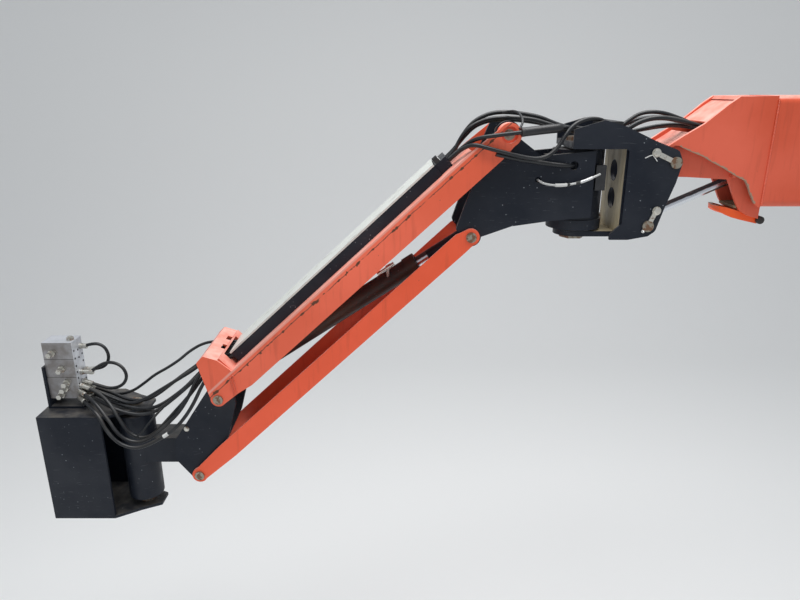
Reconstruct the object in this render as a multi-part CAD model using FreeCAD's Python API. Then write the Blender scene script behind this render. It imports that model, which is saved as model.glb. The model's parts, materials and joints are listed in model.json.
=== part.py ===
import FreeCAD, Part
import math
import os

# Side-swinging jib of an articulating boom lift, with the boom nose that it hangs on.
# Millimetres. +X points out along the boom towards the platform, +Z up, and the mid-plane is y = 0.
# Every place below is measured from the axis of the nose pin, at x = z = 0. At the end all pieces are
# moved so that the origin is in the lower wall of the boom stub's rear face, halfway across it.

V = FreeCAD.Vector

# Boom end: box section, its nose weldment and the levelling cylinder inside
BOOM_WIDE = 190.0
BOOM_TALL = 324.0
BOOM_WALL = 8.0
BOOM_CORNER = 22.0
BOOM_TOP = 189.0
SEAM_X = -280.0
STUB_REAR_X = -700.0
NOSE_WIDE = 184.0
NOSE_PLATE = 10.0
NOSE_BOSS_R = 52.0
FORK_OUT = 62.0
FORK_PLATE = 12.0
FORK_BOTTOM = -46.0
FORK_REAR = -187.0
WEB_TOP = 70.0
LEVEL_PIN_R = 17.0
LEVEL_FOOT = (-640.0, 126.0)
LEVEL_EYE = (61.6, -189.4)
LEVEL_BARREL_R = 34.0
LEVEL_BARREL_LONG = 438.0
LEVEL_ROD_INSIDE = 272.0
LEVEL_ROD_R = 14.0
LEVEL_EYE_R = 31.0

# Levelling knuckle
KNUCKLE_GAP = 6.0
KNUCKLE_PLATE = 10.0
WEB_FRONT = 146.0
WEB_PLATE = 12.0
EAR_LOW = 39.0
EAR_HIGH = 121.0
EAR_REACH = 306.0
EAR_PLATE = 18.0
FOOT_EAR_TOP = -215.0
FOOT_EAR_PLATE = 17.0
WINDOW_R = 33.0
WINDOW_HEIGHTS = (-34.0, -119.5)

# Jib base, which swings on a vertical shaft
SWING_X = 261.5
SWING_SHAFT_R = 28.0
HOUSING_TOP = 33.0
HOUSING_FOOT = -209.0
FLANGE_R = 84.0
FLANGE_TALL = 31.0
BRACKET_WIDE = 190.0
BASE_PLATE = 16.0
BRACKET_PLATE = 12.0
# Holes in the near side plate, for a hose and for the sensor's grommet: middle in the side view, radius
BASE_HOLES = (((296.0, -10.0), 13.0), ((401.0, -52.0), 9.0))

# Parallelogram: upper arm from A to D, lower arm from B to C
PIVOT_A = (497.6, 81.0)
JIB_LONG = 1240.0
LINK_LONG = 321.0
LINK_LEAN = 17.8
REST_DROP = 42.7
UPPER_WIDE = 272.0
UPPER_WALL = 6.0
UPPER_TALL = 78.0
UPPER_BOSS_R = 34.0
UPPER_BOSS_BORE = 24.0
UPPER_BOSS_DEEP = 16.0
UPPER_END_R = 28.0
ROOF_START = 110.0
ROOF_END_GAP = 62.0
LOWER_WIDE = 214.0
LOWER_WALL = 6.0
LOWER_TALL = 62.0
LOWER_RISE = 7.0
LOWER_EAR_R = 29.0
FLOOR_START = 75.0
FLOOR_END_GAP = 150.0
SLOT_WIDE = 84.0
SLOT_LONG = 640.0
ARM_PIN_R = 16.0
SPACER_R = 28.0

# Hose tray and hood on the upper arm; places along the arm are measured back from D
TRAY_WIDE = 156.0
TRAY_TALL = 43.0
TRAY_SHEET = 3.0
TRAY_END = 123.0
TRAY_START = 1020.0
LID_SHEET = 2.0
LID_EDGE = 6.0
HOOD_PLATE = 6.0
HOOD_BACK = 106.8
HOOD_EDGE = 96.9
HOOD_HIGH = 136.3
WINDOW_FOOT = 21.0
CLAMP_LONG = 42.0
# Notches in the cover plate's lower edge: middle in y, width, depth
HOOD_NOTCHES = ((20.0, 34.0, 12.0), (-56.0, 30.0, 14.0))

# Lift cylinder, from D to B on the mid-plane
LIFT_BARREL_R = 31.5
LIFT_BARREL_LONG = 780.0
LIFT_GLAND_R = 35.0
LIFT_ROD_R = 18.0
LIFT_ROD_INSIDE = 160.0
LIFT_NECK_LONG = 152.0
LIFT_EYE_R = 30.0
EYE_WIDE = 60.0

# Platform bracket, rotator and support; reaches and heights are measured from the pin at C
NECK_LOW_UP = 17.5
NECK_HIGH_UP = 112.5
NECK_WIDE = 100.0
BRACKET_REACH = 79.0
BRACKET_BROW_UP = 121.5
BRACKET_SHEET = 12.0
ROTATOR_REACH = 238.0
ROTATOR_R = 60.0
ROTATOR_TOP_UP = 195.5
ROTATOR_FOOT_UP = -134.5
ROTATOR_SHAFT_R = 26.0
SUPPORT_WIDE = 220.0
SUPPORT_NOSE = 62.0
SUPPORT_PLATE = 10.0
SUPPORT_REAR_REACH = 315.0
SUPPORT_FACE_REACH = 528.0
SUPPORT_GAP = 20.0
FACE_PLATE = 16.0
BOLT_SPACE_Y = 150.0
BOLT_SPACE_Z = 300.0
BOLT_HOLE_R = 9.0
BLOCK_LONG = 96.0
BLOCK_WIDE = 70.0
BLOCK_TALL = 205.0
BLOCK_REACH = 457.0
BLOCK_LIFT = 34.0
MOUNT_SHEET = 8.0

# Hoses: the share of a run that a bend takes, and the saddles that hold their ends
BEND_SHARE = 0.45
HOSE = 12.0
SADDLE_LONG = 40.0
NOSE_SADDLE_TALL = 34.0
KNUCKLE_SADDLE_TALL = 59.0
KNUCKLE_SADDLE_X = 160.0
# By node: points of the route. A node crosses one joint, and the next node goes on from its last point.
HOSES = {
    "nose_hose": [
        (160.0, 38.0, 92.0), (134.0, 38.0, 114.0), (94.0, 38.0, 141.0), (34.0, 38.0, 142.0), (-30.0, 38.0, 126.0),
        (-88.0, 38.0, 104.0), (-139.0, 38.0, 91.0), (-172.0, 38.0, 91.0),
    ],
    "jib_hose_arm": [
        (668.5, 46.0, 0.2), (636.0, 64.0, 33.0), (600.0, 134.0, 72.0), (512.0, 157.0, 85.0), (432.0, 139.0, 92.9),
    ],
    "jib_hose_base": [
        (432.0, 139.0, 92.9), (352.0, 121.0, 100.8), (288.0, 72.0, 98.0), (235.0, 46.0, 88.0), (200.0, 46.0, 88.0),
    ],
    "platform_hose_arm": [
        (1302.2, 52.0, -595.4), (1332.6, 53.0, -621.5), (1384.7, 54.0, -633.5), (1447.0, 56.0, -657.0),
        (1496.0, 62.0, -716.0), (1534.0, 74.0, -795.0), (1582.0, 92.0, -858.0), (1640.0, 108.0, -902.0),
    ],
    "platform_hose_end": [
        (1640.0, 108.0, -902.0), (1669.0, 116.0, -924.0), (1716.0, 122.0, -928.0), (1758.0, 124.0, -900.0),
        (1786.0, 118.0, -852.0), (1824.0, 98.0, -806.0), (1872.0, 62.0, -786.0), (1920.0, 26.0, -783.0),
    ],
}

# Clearances
RUNNING = 0.05
SEAT = 0.3

# Worked out from the sizes above
ORIGIN_SHIFT = V(-STUB_REAR_X, 0, BOOM_TALL - BOOM_TOP - BOOM_WALL / 2)
KNUCKLE_IN = NOSE_WIDE / 2 + KNUCKLE_GAP
KNUCKLE_OUT = KNUCKLE_IN + KNUCKLE_PLATE
BRACKET_OUT = BRACKET_WIDE / 2
BASE_IN = BRACKET_OUT - BASE_PLATE
UPPER_IN = UPPER_WIDE / 2 - UPPER_WALL
LOWER_IN = LOWER_WIDE / 2 - LOWER_WALL
EYE_IN = EYE_WIDE / 2
SWING_HOUSING_R = BASE_IN


def moved(point, distance, angle):
    """The point that lies at that distance and angle, in degrees, from another, in the side view."""
    turn = math.radians(angle)
    return (point[0] + distance * math.cos(turn), point[1] + distance * math.sin(turn))


PIVOT_B = moved(PIVOT_A, LINK_LONG, LINK_LEAN - 90)
PIVOT_D = moved(PIVOT_A, JIB_LONG, -REST_DROP)
PIVOT_C = moved(PIVOT_B, JIB_LONG, -REST_DROP)
ROTATOR_X = PIVOT_C[0] + ROTATOR_REACH
ROTATOR_TOP = PIVOT_C[1] + ROTATOR_TOP_UP
ROTATOR_FOOT = PIVOT_C[1] + ROTATOR_FOOT_UP
SUPPORT_REAR_X = PIVOT_C[0] + SUPPORT_REAR_REACH
SUPPORT_FACE_X = PIVOT_C[0] + SUPPORT_FACE_REACH
SUPPORT_TOP = ROTATOR_TOP + SUPPORT_GAP
SUPPORT_FOOT = ROTATOR_FOOT - SUPPORT_GAP - SUPPORT_PLATE
BLOCK_X = PIVOT_C[0] + BLOCK_REACH
BLOCK_FOOT = SUPPORT_TOP + SUPPORT_PLATE + BLOCK_LIFT
LIFT_LONG = math.dist(PIVOT_B, PIVOT_D)
LIFT_ANGLE = math.degrees(math.atan2(PIVOT_B[1] - PIVOT_D[1], PIVOT_B[0] - PIVOT_D[0]))
LEVEL_LONG = math.dist(LEVEL_FOOT, LEVEL_EYE)
LEVEL_ANGLE = math.degrees(
    math.atan2(LEVEL_EYE[1] - LEVEL_FOOT[1], LEVEL_EYE[0] - LEVEL_FOOT[0])
)


def box(x, y, z):
    """A block from three (low, high) pairs."""
    low = V(x[0], y[0], z[0])
    return Part.makeBox(x[1] - x[0], y[1] - y[0], z[1] - z[0], low)


def across(place, radius, y):
    """A round bar along Y through a place in the side view, between y = (low, high)."""
    return Part.makeCylinder(radius, y[1] - y[0], V(place[0], y[0], place[1]), V(0, 1, 0))


def upright(x, radius, z, y=0.0):
    """A round bar along Z between z = (low, high)."""
    return Part.makeCylinder(radius, z[1] - z[0], V(x, y, z[0]), V(0, 0, 1))


def lengthways(radius, x, y=0.0, z=0.0):
    """A round bar along X between x = (low, high)."""
    return Part.makeCylinder(radius, x[1] - x[0], V(x[0], y, z), V(1, 0, 0))


def outline(corners):
    """A closed side-view wire. A corner is (x, z) or (x, z, radius) where a tangent arc rounds it."""
    edges = []
    ends = []
    count = len(corners)
    for i, corner in enumerate(corners):
        here = V(corner[0], 0, corner[1])
        radius = corner[2] if len(corner) > 2 else 0.0
        if not radius:
            ends.append((here, here))
            continue
        last = corners[i - 1]
        following = corners[(i + 1) % count]
        back = (V(last[0], 0, last[1]) - here).normalize()
        ahead = (V(following[0], 0, following[1]) - here).normalize()
        half = back.getAngle(ahead) / 2
        reach = radius / math.tan(half)
        middle = (back + ahead).normalize()
        crown = here + middle * (radius / math.sin(half) - radius)
        ends.append((here + back * reach, here + ahead * reach))
        edges.append(Part.Arc(ends[-1][0], crown, ends[-1][1]).toShape())
    for i in range(count):
        start, stop = ends[i][1], ends[(i + 1) % count][0]
        if start.distanceToPoint(stop) > 1e-6:
            edges.append(Part.LineSegment(start, stop).toShape())
    return Part.Wire(Part.__sortEdges__(edges))


def plate(corners, y):
    """A flat plate with that side-view outline, between y = (low, high)."""
    wire = outline(corners)
    wire.translate(V(0, y[0], 0))
    return Part.Face(wire).extrude(V(0, y[1] - y[0], 0))


def both(shape):
    """The shape and its mirror image in the mid-plane."""
    return [shape, shape.mirror(V(0, 0, 0), V(0, 1, 0))]


def fused(shapes):
    """One solid from pieces that are welded together."""
    return shapes[0].fuse(shapes[1:]).removeSplitter()


def placed(shape, pivot, angle):
    """A shape drawn along +X from the origin, turned up by an angle and carried to its pivot."""
    shape.rotate(V(0, 0, 0), V(0, 1, 0), -angle)
    shape.translate(V(pivot[0], 0, pivot[1]))
    return shape


def hexagon(radius, start, tall, way):
    """A six-sided nut or bolt head along a direction, with its corners at that radius."""
    circle = Part.makeCircle(radius, start, way)
    corners = [circle.valueAt(circle.FirstParameter + i * math.pi / 3) for i in range(7)]
    return Part.Face(Part.makePolygon(corners)).extrude(way * tall)


def keeper(pin, bolt, y):
    """A flat bar that holds a pin's end, cut round it, with its bolt, on a face at y."""
    bar_wide, bar_thick, bolt_r, bolt_tall = 10.0, 6.0, 7.0, 5.0
    angle = math.degrees(math.atan2(bolt[1] - pin[1], bolt[0] - pin[0]))
    long = math.dist(pin, bolt)
    bar = box((0, long + bar_wide / 2), (y, y + bar_thick), (-bar_wide / 2, bar_wide / 2))
    bar = placed(bar, pin, angle)
    head = hexagon(bolt_r, V(bolt[0], y + bar_thick, bolt[1]), bolt_tall, V(0, 1, 0))
    return fused([bar, head]).cut(across(pin, LEVEL_PIN_R + SEAT, (y, y + bar_thick)))


def hose(name):
    """A hose along its route: straight runs joined by the largest tangent arcs that the runs allow."""
    places = [V(*point) for point in HOSES[name]]
    edges = []
    radii = []
    start = places[0]
    for last, here, following in zip(places, places[1:], places[2:]):
        back, ahead = last - here, following - here
        turn = math.pi - back.getAngle(ahead)
        reach = BEND_SHARE * min(back.Length, ahead.Length)
        radius = reach / math.tan(turn / 2)
        back.normalize()
        ahead.normalize()
        crown = here + (back + ahead).normalize() * (radius / math.cos(turn / 2) - radius)
        first, second = here + back * reach, here + ahead * reach
        edges.append(Part.LineSegment(start, first).toShape())
        edges.append(Part.Arc(first, crown, second).toShape())
        start = second
        radii.append(round(radius))
    edges.append(Part.LineSegment(start, places[-1]).toShape())
    path = Part.Wire(edges)
    ring = Part.Wire(Part.makeCircle(HOSE / 2, places[0], places[1] - places[0]))
    tube = path.makePipe(Part.Face(ring))
    expected = math.pi * HOSE**2 / 4 * path.Length
    print(name, "long", round(path.Length), "radii", radii, "volume", round(tube.Volume / expected, 4))
    return tube


def boom_tube():
    """The boom's rectangular tube, cut off behind the nose."""
    def section(shrink):
        half_y, low, high = BOOM_WIDE / 2 - shrink, BOOM_TOP - BOOM_TALL + shrink, BOOM_TOP - shrink
        long = SEAM_X - STUB_REAR_X
        block = box((STUB_REAR_X, SEAM_X), (-half_y, half_y), (low, high))
        edges = [e for e in block.Edges if abs(e.Length - long) < 1e-6]
        return block.makeFillet(BOOM_CORNER - shrink, edges)

    tube = section(0).cut(section(BOOM_WALL))
    foot_hole = across(LEVEL_FOOT, LEVEL_PIN_R + RUNNING, (-BOOM_WIDE, BOOM_WIDE))
    return tube.cut(foot_hole)


def boom_nose():
    """Nose weldment: two side plates, inner fork plates, a top plate and a sill under the mouth."""
    side_outline = [
        (SEAM_X, BOOM_TOP), (-169.0, BOOM_TOP - 2), (-138.0, 164.0), (-75.0, 110.0),
        (-18.0, 75.0), (34.0, 40.0), (NOSE_BOSS_R, 0), (20.0, -48.0), (-30.0, -43.0),
        (-109.0, 2.0, 25.0), (-228.0, -52.0, 25.0), (-253.0, BOOM_TOP - BOOM_TALL + 22),
        (-273.0, BOOM_TOP - BOOM_TALL), (SEAM_X, BOOM_TOP - BOOM_TALL),
    ]
    half = NOSE_WIDE / 2
    side = plate(side_outline, (half - NOSE_PLATE, half))
    side = fused([side, across((0, 0), NOSE_BOSS_R, (half - NOSE_PLATE, half))])
    fork_outline = [
        (FORK_REAR, WEB_TOP), (0, NOSE_BOSS_R), (NOSE_BOSS_R, 0), (30.0, FORK_BOTTOM, 20.0),
        (FORK_REAR, FORK_BOTTOM),
    ]
    fork = plate(fork_outline, (FORK_OUT - FORK_PLATE, FORK_OUT))
    inside = half - NOSE_PLATE
    roof = box((SEAM_X, -169.0), (-inside, inside), (BOOM_TOP - 12, BOOM_TOP - 2))
    rear_web = box((FORK_REAR - 10, FORK_REAR), (-inside, inside), (FORK_BOTTOM, WEB_TOP))
    sill = box((SEAM_X, -273.0), (-inside, inside), (BOOM_TOP - BOOM_TALL, BOOM_TOP - BOOM_TALL + 10))
    sleeve = across((0, 0), LEVEL_PIN_R + 14, (-inside, inside))
    nose = fused(both(side) + both(fork) + [roof, rear_web, sill, sleeve])
    return nose.cut(across((0, 0), LEVEL_PIN_R + RUNNING, (-half, half)))


def nose_guard():
    """Folded guard under the mouth of the nose, on a foot against the boom's underside."""
    foot = BOOM_TOP - BOOM_TALL
    guard_half, sheet, rib_in, rib_out = 80.0, 8.0, 60.0, 68.0
    high = (SEAM_X + 54.0, foot - 17.6)
    low = (SEAM_X - 52.0, foot - 69.0)
    corners = [high, low, (low[0], low[1] - sheet), (high[0], high[1] - sheet)]
    slope = plate(corners, (-guard_half, guard_half))
    rib = plate([(SEAM_X - 20.0, foot), (SEAM_X - 160.0, foot), low, (SEAM_X - 20.0, foot - 55.0)], (rib_in, rib_out))
    return fused([slope] + both(rib))


def cylinder_barrel(radius, gland_r, long, eye_r, pin_r):
    """A cylinder's barrel along +X from its base eye, with its gland ring and a hollow bore."""
    gland_long = 40.0
    parts = [
        lengthways(radius, (eye_r * 0.7, long - gland_long)),
        lengthways(gland_r, (long - gland_long, long)),
        across((0, 0), eye_r, (-EYE_IN, EYE_IN)),
    ]
    return fused(parts).cut(across((0, 0), pin_r + RUNNING, (-EYE_IN, EYE_IN)))


def level_barrel():
    barrel = cylinder_barrel(LEVEL_BARREL_R, LEVEL_BARREL_R + 4, LEVEL_BARREL_LONG, LEVEL_EYE_R, LEVEL_PIN_R)
    bore = lengthways(LEVEL_ROD_R + RUNNING, (LEVEL_EYE_R + 5, LEVEL_BARREL_LONG))
    return placed(barrel.cut(bore), LEVEL_FOOT, LEVEL_ANGLE)


def level_rod():
    """Chrome rod with its eye and the middle of the eye's pin."""
    rod = lengthways(LEVEL_ROD_R, (LEVEL_ROD_INSIDE, LEVEL_LONG - LEVEL_EYE_R * 0.7))
    eye = across((LEVEL_LONG, 0), LEVEL_EYE_R, (-EYE_IN, EYE_IN))
    return placed(fused([rod, eye]), LEVEL_FOOT, LEVEL_ANGLE)


def knuckle():
    """Levelling knuckle: side plates outside the nose, a web and two ears for the swing shaft."""
    foot_ear_low = FOOT_EAR_TOP - FOOT_EAR_PLATE
    side_outline = [
        (EAR_REACH, 95.0), (219.0, EAR_HIGH, 20.0), (158.0, 104.0), (65.0, 62.0), (-6.0, 35.0, 22.0),
        (-21.0, 2.0, 18.0), (-7.0, -60.0), (15.0, -127.0), (37.0, -206.0, 22.0), (58.0, -221.0),
        (118.0, foot_ear_low), (174.0, foot_ear_low), (174.0, FOOT_EAR_TOP), (141.0, -184.0, 10.0),
        (141.0, EAR_LOW, 10.0), (EAR_REACH, EAR_LOW),
    ]
    side = plate(side_outline, (KNUCKLE_IN, KNUCKLE_OUT))
    web_back = WEB_FRONT - WEB_PLATE
    web = box((web_back, WEB_FRONT), (-KNUCKLE_IN, KNUCKLE_IN), (foot_ear_low, EAR_HIGH - 30))
    for height in WINDOW_HEIGHTS:
        web = web.cut(lengthways(WINDOW_R, (web_back, WEB_FRONT), 0, height))
    ear = box((web_back, EAR_REACH), (-KNUCKLE_IN, KNUCKLE_IN), (EAR_LOW, EAR_LOW + EAR_PLATE))
    foot_half = 60.0
    foot_long = box((web_back, SWING_X), (-foot_half, foot_half), (foot_ear_low, FOOT_EAR_TOP))
    foot_round = upright(SWING_X, foot_half, (foot_ear_low, FOOT_EAR_TOP))
    boss = across(LEVEL_EYE, LEVEL_PIN_R + 12, (60.0, KNUCKLE_IN))
    body = fused(both(side) + both(boss) + [web, ear, foot_long, foot_round])
    for pin in ((0, 0), LEVEL_EYE):
        body = body.cut(across(pin, LEVEL_PIN_R + RUNNING, (-KNUCKLE_OUT, KNUCKLE_OUT)))
    return body.cut(upright(SWING_X, SWING_SHAFT_R + RUNNING, (HOUSING_FOOT - 50, EAR_HIGH)))


def level_pin():
    pin = across((0, 0), LEVEL_PIN_R, (-KNUCKLE_OUT - 6, KNUCKLE_OUT + 6))
    return pin


def level_keepers():
    """Keeper bars of the two knuckle pins, on the near face."""
    return Part.makeCompound(
        [
            keeper((0, 0), (68.8, 58.6), KNUCKLE_OUT),
            keeper(LEVEL_EYE, (35.9, -146.9), KNUCKLE_OUT),
        ]
    )


def eye_pin_stubs():
    """Outer ends of the levelling rod's pin, in the knuckle plates."""
    return Part.makeCompound(both(across(LEVEL_EYE, LEVEL_PIN_R, (EYE_IN + 6, KNUCKLE_OUT + 6))))


def swing_shaft():
    """Shaft of the swing actuator, with a hexagon head on top and a nut under the lower ear."""
    head_r, head_tall = 40.0, 12.0
    low, high = FOOT_EAR_TOP - FOOT_EAR_PLATE, EAR_LOW + EAR_PLATE
    shaft = upright(SWING_X, SWING_SHAFT_R, (low - 6, high))
    head = hexagon(head_r, V(SWING_X, 0, high), head_tall, V(0, 0, 1))
    nut = hexagon(head_r, V(SWING_X, 0, low), head_tall, V(0, 0, -1))
    return fused([shaft, head, nut])


def jib_base():
    """Jib base weldment: swing housing between two side plates, with a web behind it."""
    a_boss_r, b_boss_r = 38.0, 31.0
    rear = SWING_X - 28.0
    side_outline = [
        (rear, HOUSING_TOP), (394.0, 18.0), (458.0, 66.0), (PIVOT_A[0] - 10.0, PIVOT_A[1] + a_boss_r - 2.0),
        (PIVOT_A[0] + a_boss_r, PIVOT_A[1] + 8.0), (617.0, -128.0), (643.0, -205.0, 16.0),
        (600.0, PIVOT_B[1] - b_boss_r + 4, 16.0), (574.0, -229.0), (473.0, -193.0), (362.0, -177.0),
        (rear, -165.0),
    ]
    side = plate(side_outline, (BASE_IN, BRACKET_OUT))
    bosses = [
        across(PIVOT_A, a_boss_r, (BASE_IN, BRACKET_OUT)),
        across(PIVOT_B, b_boss_r, (EYE_IN + 16, BRACKET_OUT)),
    ]
    side = fused([side] + bosses)
    near, far = both(side)
    for place, radius in BASE_HOLES:
        near = near.cut(across(place, radius, (BASE_IN, BRACKET_OUT)))
    housing = upright(SWING_X, SWING_HOUSING_R, (HOUSING_FOOT, HOUSING_TOP))
    flange = upright(SWING_X, FLANGE_R, (HOUSING_FOOT, HOUSING_FOOT + FLANGE_TALL))
    web_x = SWING_X + SWING_HOUSING_R - 12
    web = box((web_x, web_x + 24), (-BASE_IN, BASE_IN), (HOUSING_FOOT + 49, HOUSING_TOP - 23))
    base = fused([near, far, housing, flange, web])
    base = base.cut(upright(SWING_X, SWING_SHAFT_R + RUNNING, (HOUSING_FOOT, HOUSING_TOP)))
    for pin in (PIVOT_A, PIVOT_B):
        base = base.cut(across(pin, ARM_PIN_R + RUNNING, (-BRACKET_OUT, BRACKET_OUT)))
    return base


def swing_valve():
    """Small valve on the near side of the swing housing."""
    return box((196.0, 226.0), (69.0, 86.0), (-85.0, -10.0)).cut(
        upright(SWING_X, SWING_HOUSING_R + SEAT, (-90.0, 0.0)))


def upper_arm_pin():
    half = UPPER_WIDE / 2 - UPPER_BOSS_DEEP
    return across(PIVOT_A, ARM_PIN_R, (-half, half))


def lower_arm_pins():
    """Outer ends of the pin at B, one each side of the lift rod's eye."""
    return Part.makeCompound(both(across(PIVOT_B, ARM_PIN_R, (EYE_IN + 7, LOWER_WIDE / 2 + 6))))


def upper_arm():
    """Inverted channel with a cheek at each end and open bosses at A, drawn along +X from A."""
    half = UPPER_TALL / 2
    out = UPPER_WIDE / 2
    cheek_outline = [
        (0, UPPER_BOSS_R - 2), (ROOF_START, half), (JIB_LONG - HOOD_BACK, half), (JIB_LONG - HOOD_BACK + 7.1, HOOD_EDGE),
        (JIB_LONG - 76.6, HOOD_HIGH + 1.0, 6.0), (JIB_LONG - 43.6, HOOD_HIGH, 10.0), (JIB_LONG + 24.0, 4.0, 16.0),
        (JIB_LONG + 8, -24.0, 16.0), (JIB_LONG - 65, -29.0), (JIB_LONG - 120, -half), (60.0, -half),
        (0, -UPPER_BOSS_R + 2),
    ]
    cheek = plate(cheek_outline, (UPPER_IN, out))
    cheek = fused([
        cheek,
        across((0, 0), UPPER_BOSS_R, (BRACKET_OUT + SEAT, out)),
        across((JIB_LONG, 0), UPPER_END_R - 3, (BRACKET_OUT + SEAT, out)),
    ])
    roof = box((ROOF_START, JIB_LONG - ROOF_END_GAP), (-out, out), (half - UPPER_WALL, half))
    arm = fused(both(cheek) + [roof])
    for place in ((0, 0), (JIB_LONG, 0)):
        arm = arm.cut(across(place, ARM_PIN_R + RUNNING, (-out, out)))
    for recess in both(across((0, 0), UPPER_BOSS_BORE, (out - UPPER_BOSS_DEEP, out))):
        arm = arm.cut(recess)
    return placed(arm, PIVOT_A, -REST_DROP)


def bracket_pin(pivot, half):
    return across(pivot, ARM_PIN_R, (-half - 6, half + 6))


def lower_arm():
    """Channel open at the top, drawn along +X from B, slotted where the lift cylinder dips into it."""
    half, out = LOWER_TALL / 2, LOWER_WIDE / 2
    ear = LOWER_EAR_R - 5
    wall_end, floor_end = JIB_LONG - 130, JIB_LONG - FLOOR_END_GAP

    def edge(x, level):
        """Height of the wall's upper or lower edge, which rises a little towards B."""
        return level + LOWER_RISE * (1 - x / wall_end)

    wall_outline = [
        (-LOWER_EAR_R * 0.6, 22.0, 14.0), (30.0, edge(30.0, half)), (wall_end, half), (JIB_LONG, ear),
        (JIB_LONG + ear, 14.0, 14.0), (JIB_LONG + ear, -14.0, 14.0), (JIB_LONG, -ear),
        (floor_end, edge(floor_end, -half)), (50.0, edge(50.0, -half)), (-LOWER_EAR_R * 0.6, -22.0, 14.0),
    ]
    wall = plate(wall_outline, (LOWER_IN, out))
    wall = fused([wall] + [
        across((x, 0), SPACER_R - 2, (BRACKET_OUT + SEAT, out)) for x in (0, JIB_LONG)
    ])
    start_low, end_low = edge(FLOOR_START, -half), edge(floor_end, -half)
    floor = plate([(FLOOR_START, start_low), (floor_end, end_low), (floor_end, end_low + LOWER_WALL),
                   (FLOOR_START, start_low + LOWER_WALL)], (-out, out))
    slot = box((FLOOR_START, SLOT_LONG), (-SLOT_WIDE / 2, SLOT_WIDE / 2), (-half, half))
    arm = fused(both(wall) + [floor.cut(slot)])
    for place in ((0, 0), (JIB_LONG, 0)):
        arm = arm.cut(across(place, ARM_PIN_R + RUNNING, (-out, out)))
    return placed(arm, PIVOT_B, -REST_DROP)


def on_upper_arm(shape):
    """A shape drawn with D at the origin, +X outward along the arm and +Z away from its top."""
    return placed(shape, PIVOT_D, -REST_DROP)


def hose_tray():
    """Two black side sheets and a bottom sheet on the arm's top, open along the lid."""
    low, half = UPPER_TALL / 2, TRAY_WIDE / 2
    trough = box((-TRAY_START, -TRAY_END), (-half, half), (low, low + TRAY_TALL - LID_SHEET))
    space = box((-TRAY_START, -TRAY_END), (-half + TRAY_SHEET, half - TRAY_SHEET), (low + TRAY_SHEET, low + TRAY_TALL))
    return on_upper_arm(trough.cut(space))


def tray_lid():
    """Pale cover sheet of the hose tray, with its edges folded down a little."""
    high, half = UPPER_TALL / 2 + TRAY_TALL, TRAY_WIDE / 2
    lid = box((-TRAY_START, -TRAY_END), (-half - LID_SHEET, half + LID_SHEET), (high - LID_EDGE, high))
    space = box((-TRAY_START, -TRAY_END), (-half, half), (high - LID_EDGE, high - LID_SHEET))
    return on_upper_arm(lid.cut(space))


def tray_clamp():
    """Clamp block where the hoses leave the upper end of the tray."""
    low, half = UPPER_TALL / 2, TRAY_WIDE / 2 - 8
    block = box((-TRAY_START - CLAMP_LONG, -TRAY_START), (-half, half), (low, low + TRAY_TALL - 8))
    return on_upper_arm(block)


def hose_hood():
    """Hood between the arm's cheeks that turns the hoses down: a cap, a cover plate and a wall with a window."""
    half, low = UPPER_IN, UPPER_TALL / 2
    edge, high = HOOD_EDGE, HOOD_HIGH
    cap = plate([(-45.0, high - 1), (-76.6, high + 0.2), (-74.0, high - 5.8), (-48.0, high - 7)], (-half, half))
    cover = plate([(-76.6, high + 0.2), (-99.0, edge), (-93.6, edge - 2.9), (-72.0, high - 4.3)], (-half, half))
    for y, wide, deep in HOOD_NOTCHES:
        notch = plate([(-110.0, edge - 17), (-110.0, edge + deep), (-70.0, edge + deep), (-70.0, edge - 17)],
                      (y - wide / 2, y + wide / 2))
        cover = cover.cut(notch)
    wall_x = (-HOOD_BACK, -HOOD_BACK + HOOD_PLATE)
    wall = box(wall_x, (-half, half), (low, edge))
    wall = wall.cut(box(wall_x, (-TRAY_WIDE / 2, TRAY_WIDE / 2), (low + WINDOW_FOOT, edge - HOOD_PLATE)))
    return on_upper_arm(Part.makeCompound([fused([cap, cover]), wall]))


def lift_barrel():
    barrel = cylinder_barrel(LIFT_BARREL_R, LIFT_GLAND_R, LIFT_BARREL_LONG, LIFT_EYE_R - 2, ARM_PIN_R)
    bore = lengthways(LIFT_ROD_R + RUNNING, (70.0, LIFT_BARREL_LONG))
    return placed(barrel.cut(bore), PIVOT_D, LIFT_ANGLE)


def lift_rod():
    """Chrome part of the lift rod."""
    rod = lengthways(LIFT_ROD_R, (LIFT_ROD_INSIDE, LIFT_LONG - LIFT_NECK_LONG))
    return placed(rod, PIVOT_D, LIFT_ANGLE)


def lift_rod_eye():
    """Long painted end of the lift rod, with its eye and the middle of the pin at B."""
    neck = lengthways(LIFT_ROD_R, (LIFT_LONG - LIFT_NECK_LONG, LIFT_LONG - LIFT_EYE_R * 0.7))
    eye = across((LIFT_LONG, 0), LIFT_EYE_R, (-EYE_IN, EYE_IN))
    return placed(fused([neck, eye]), PIVOT_D, LIFT_ANGLE)


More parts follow.
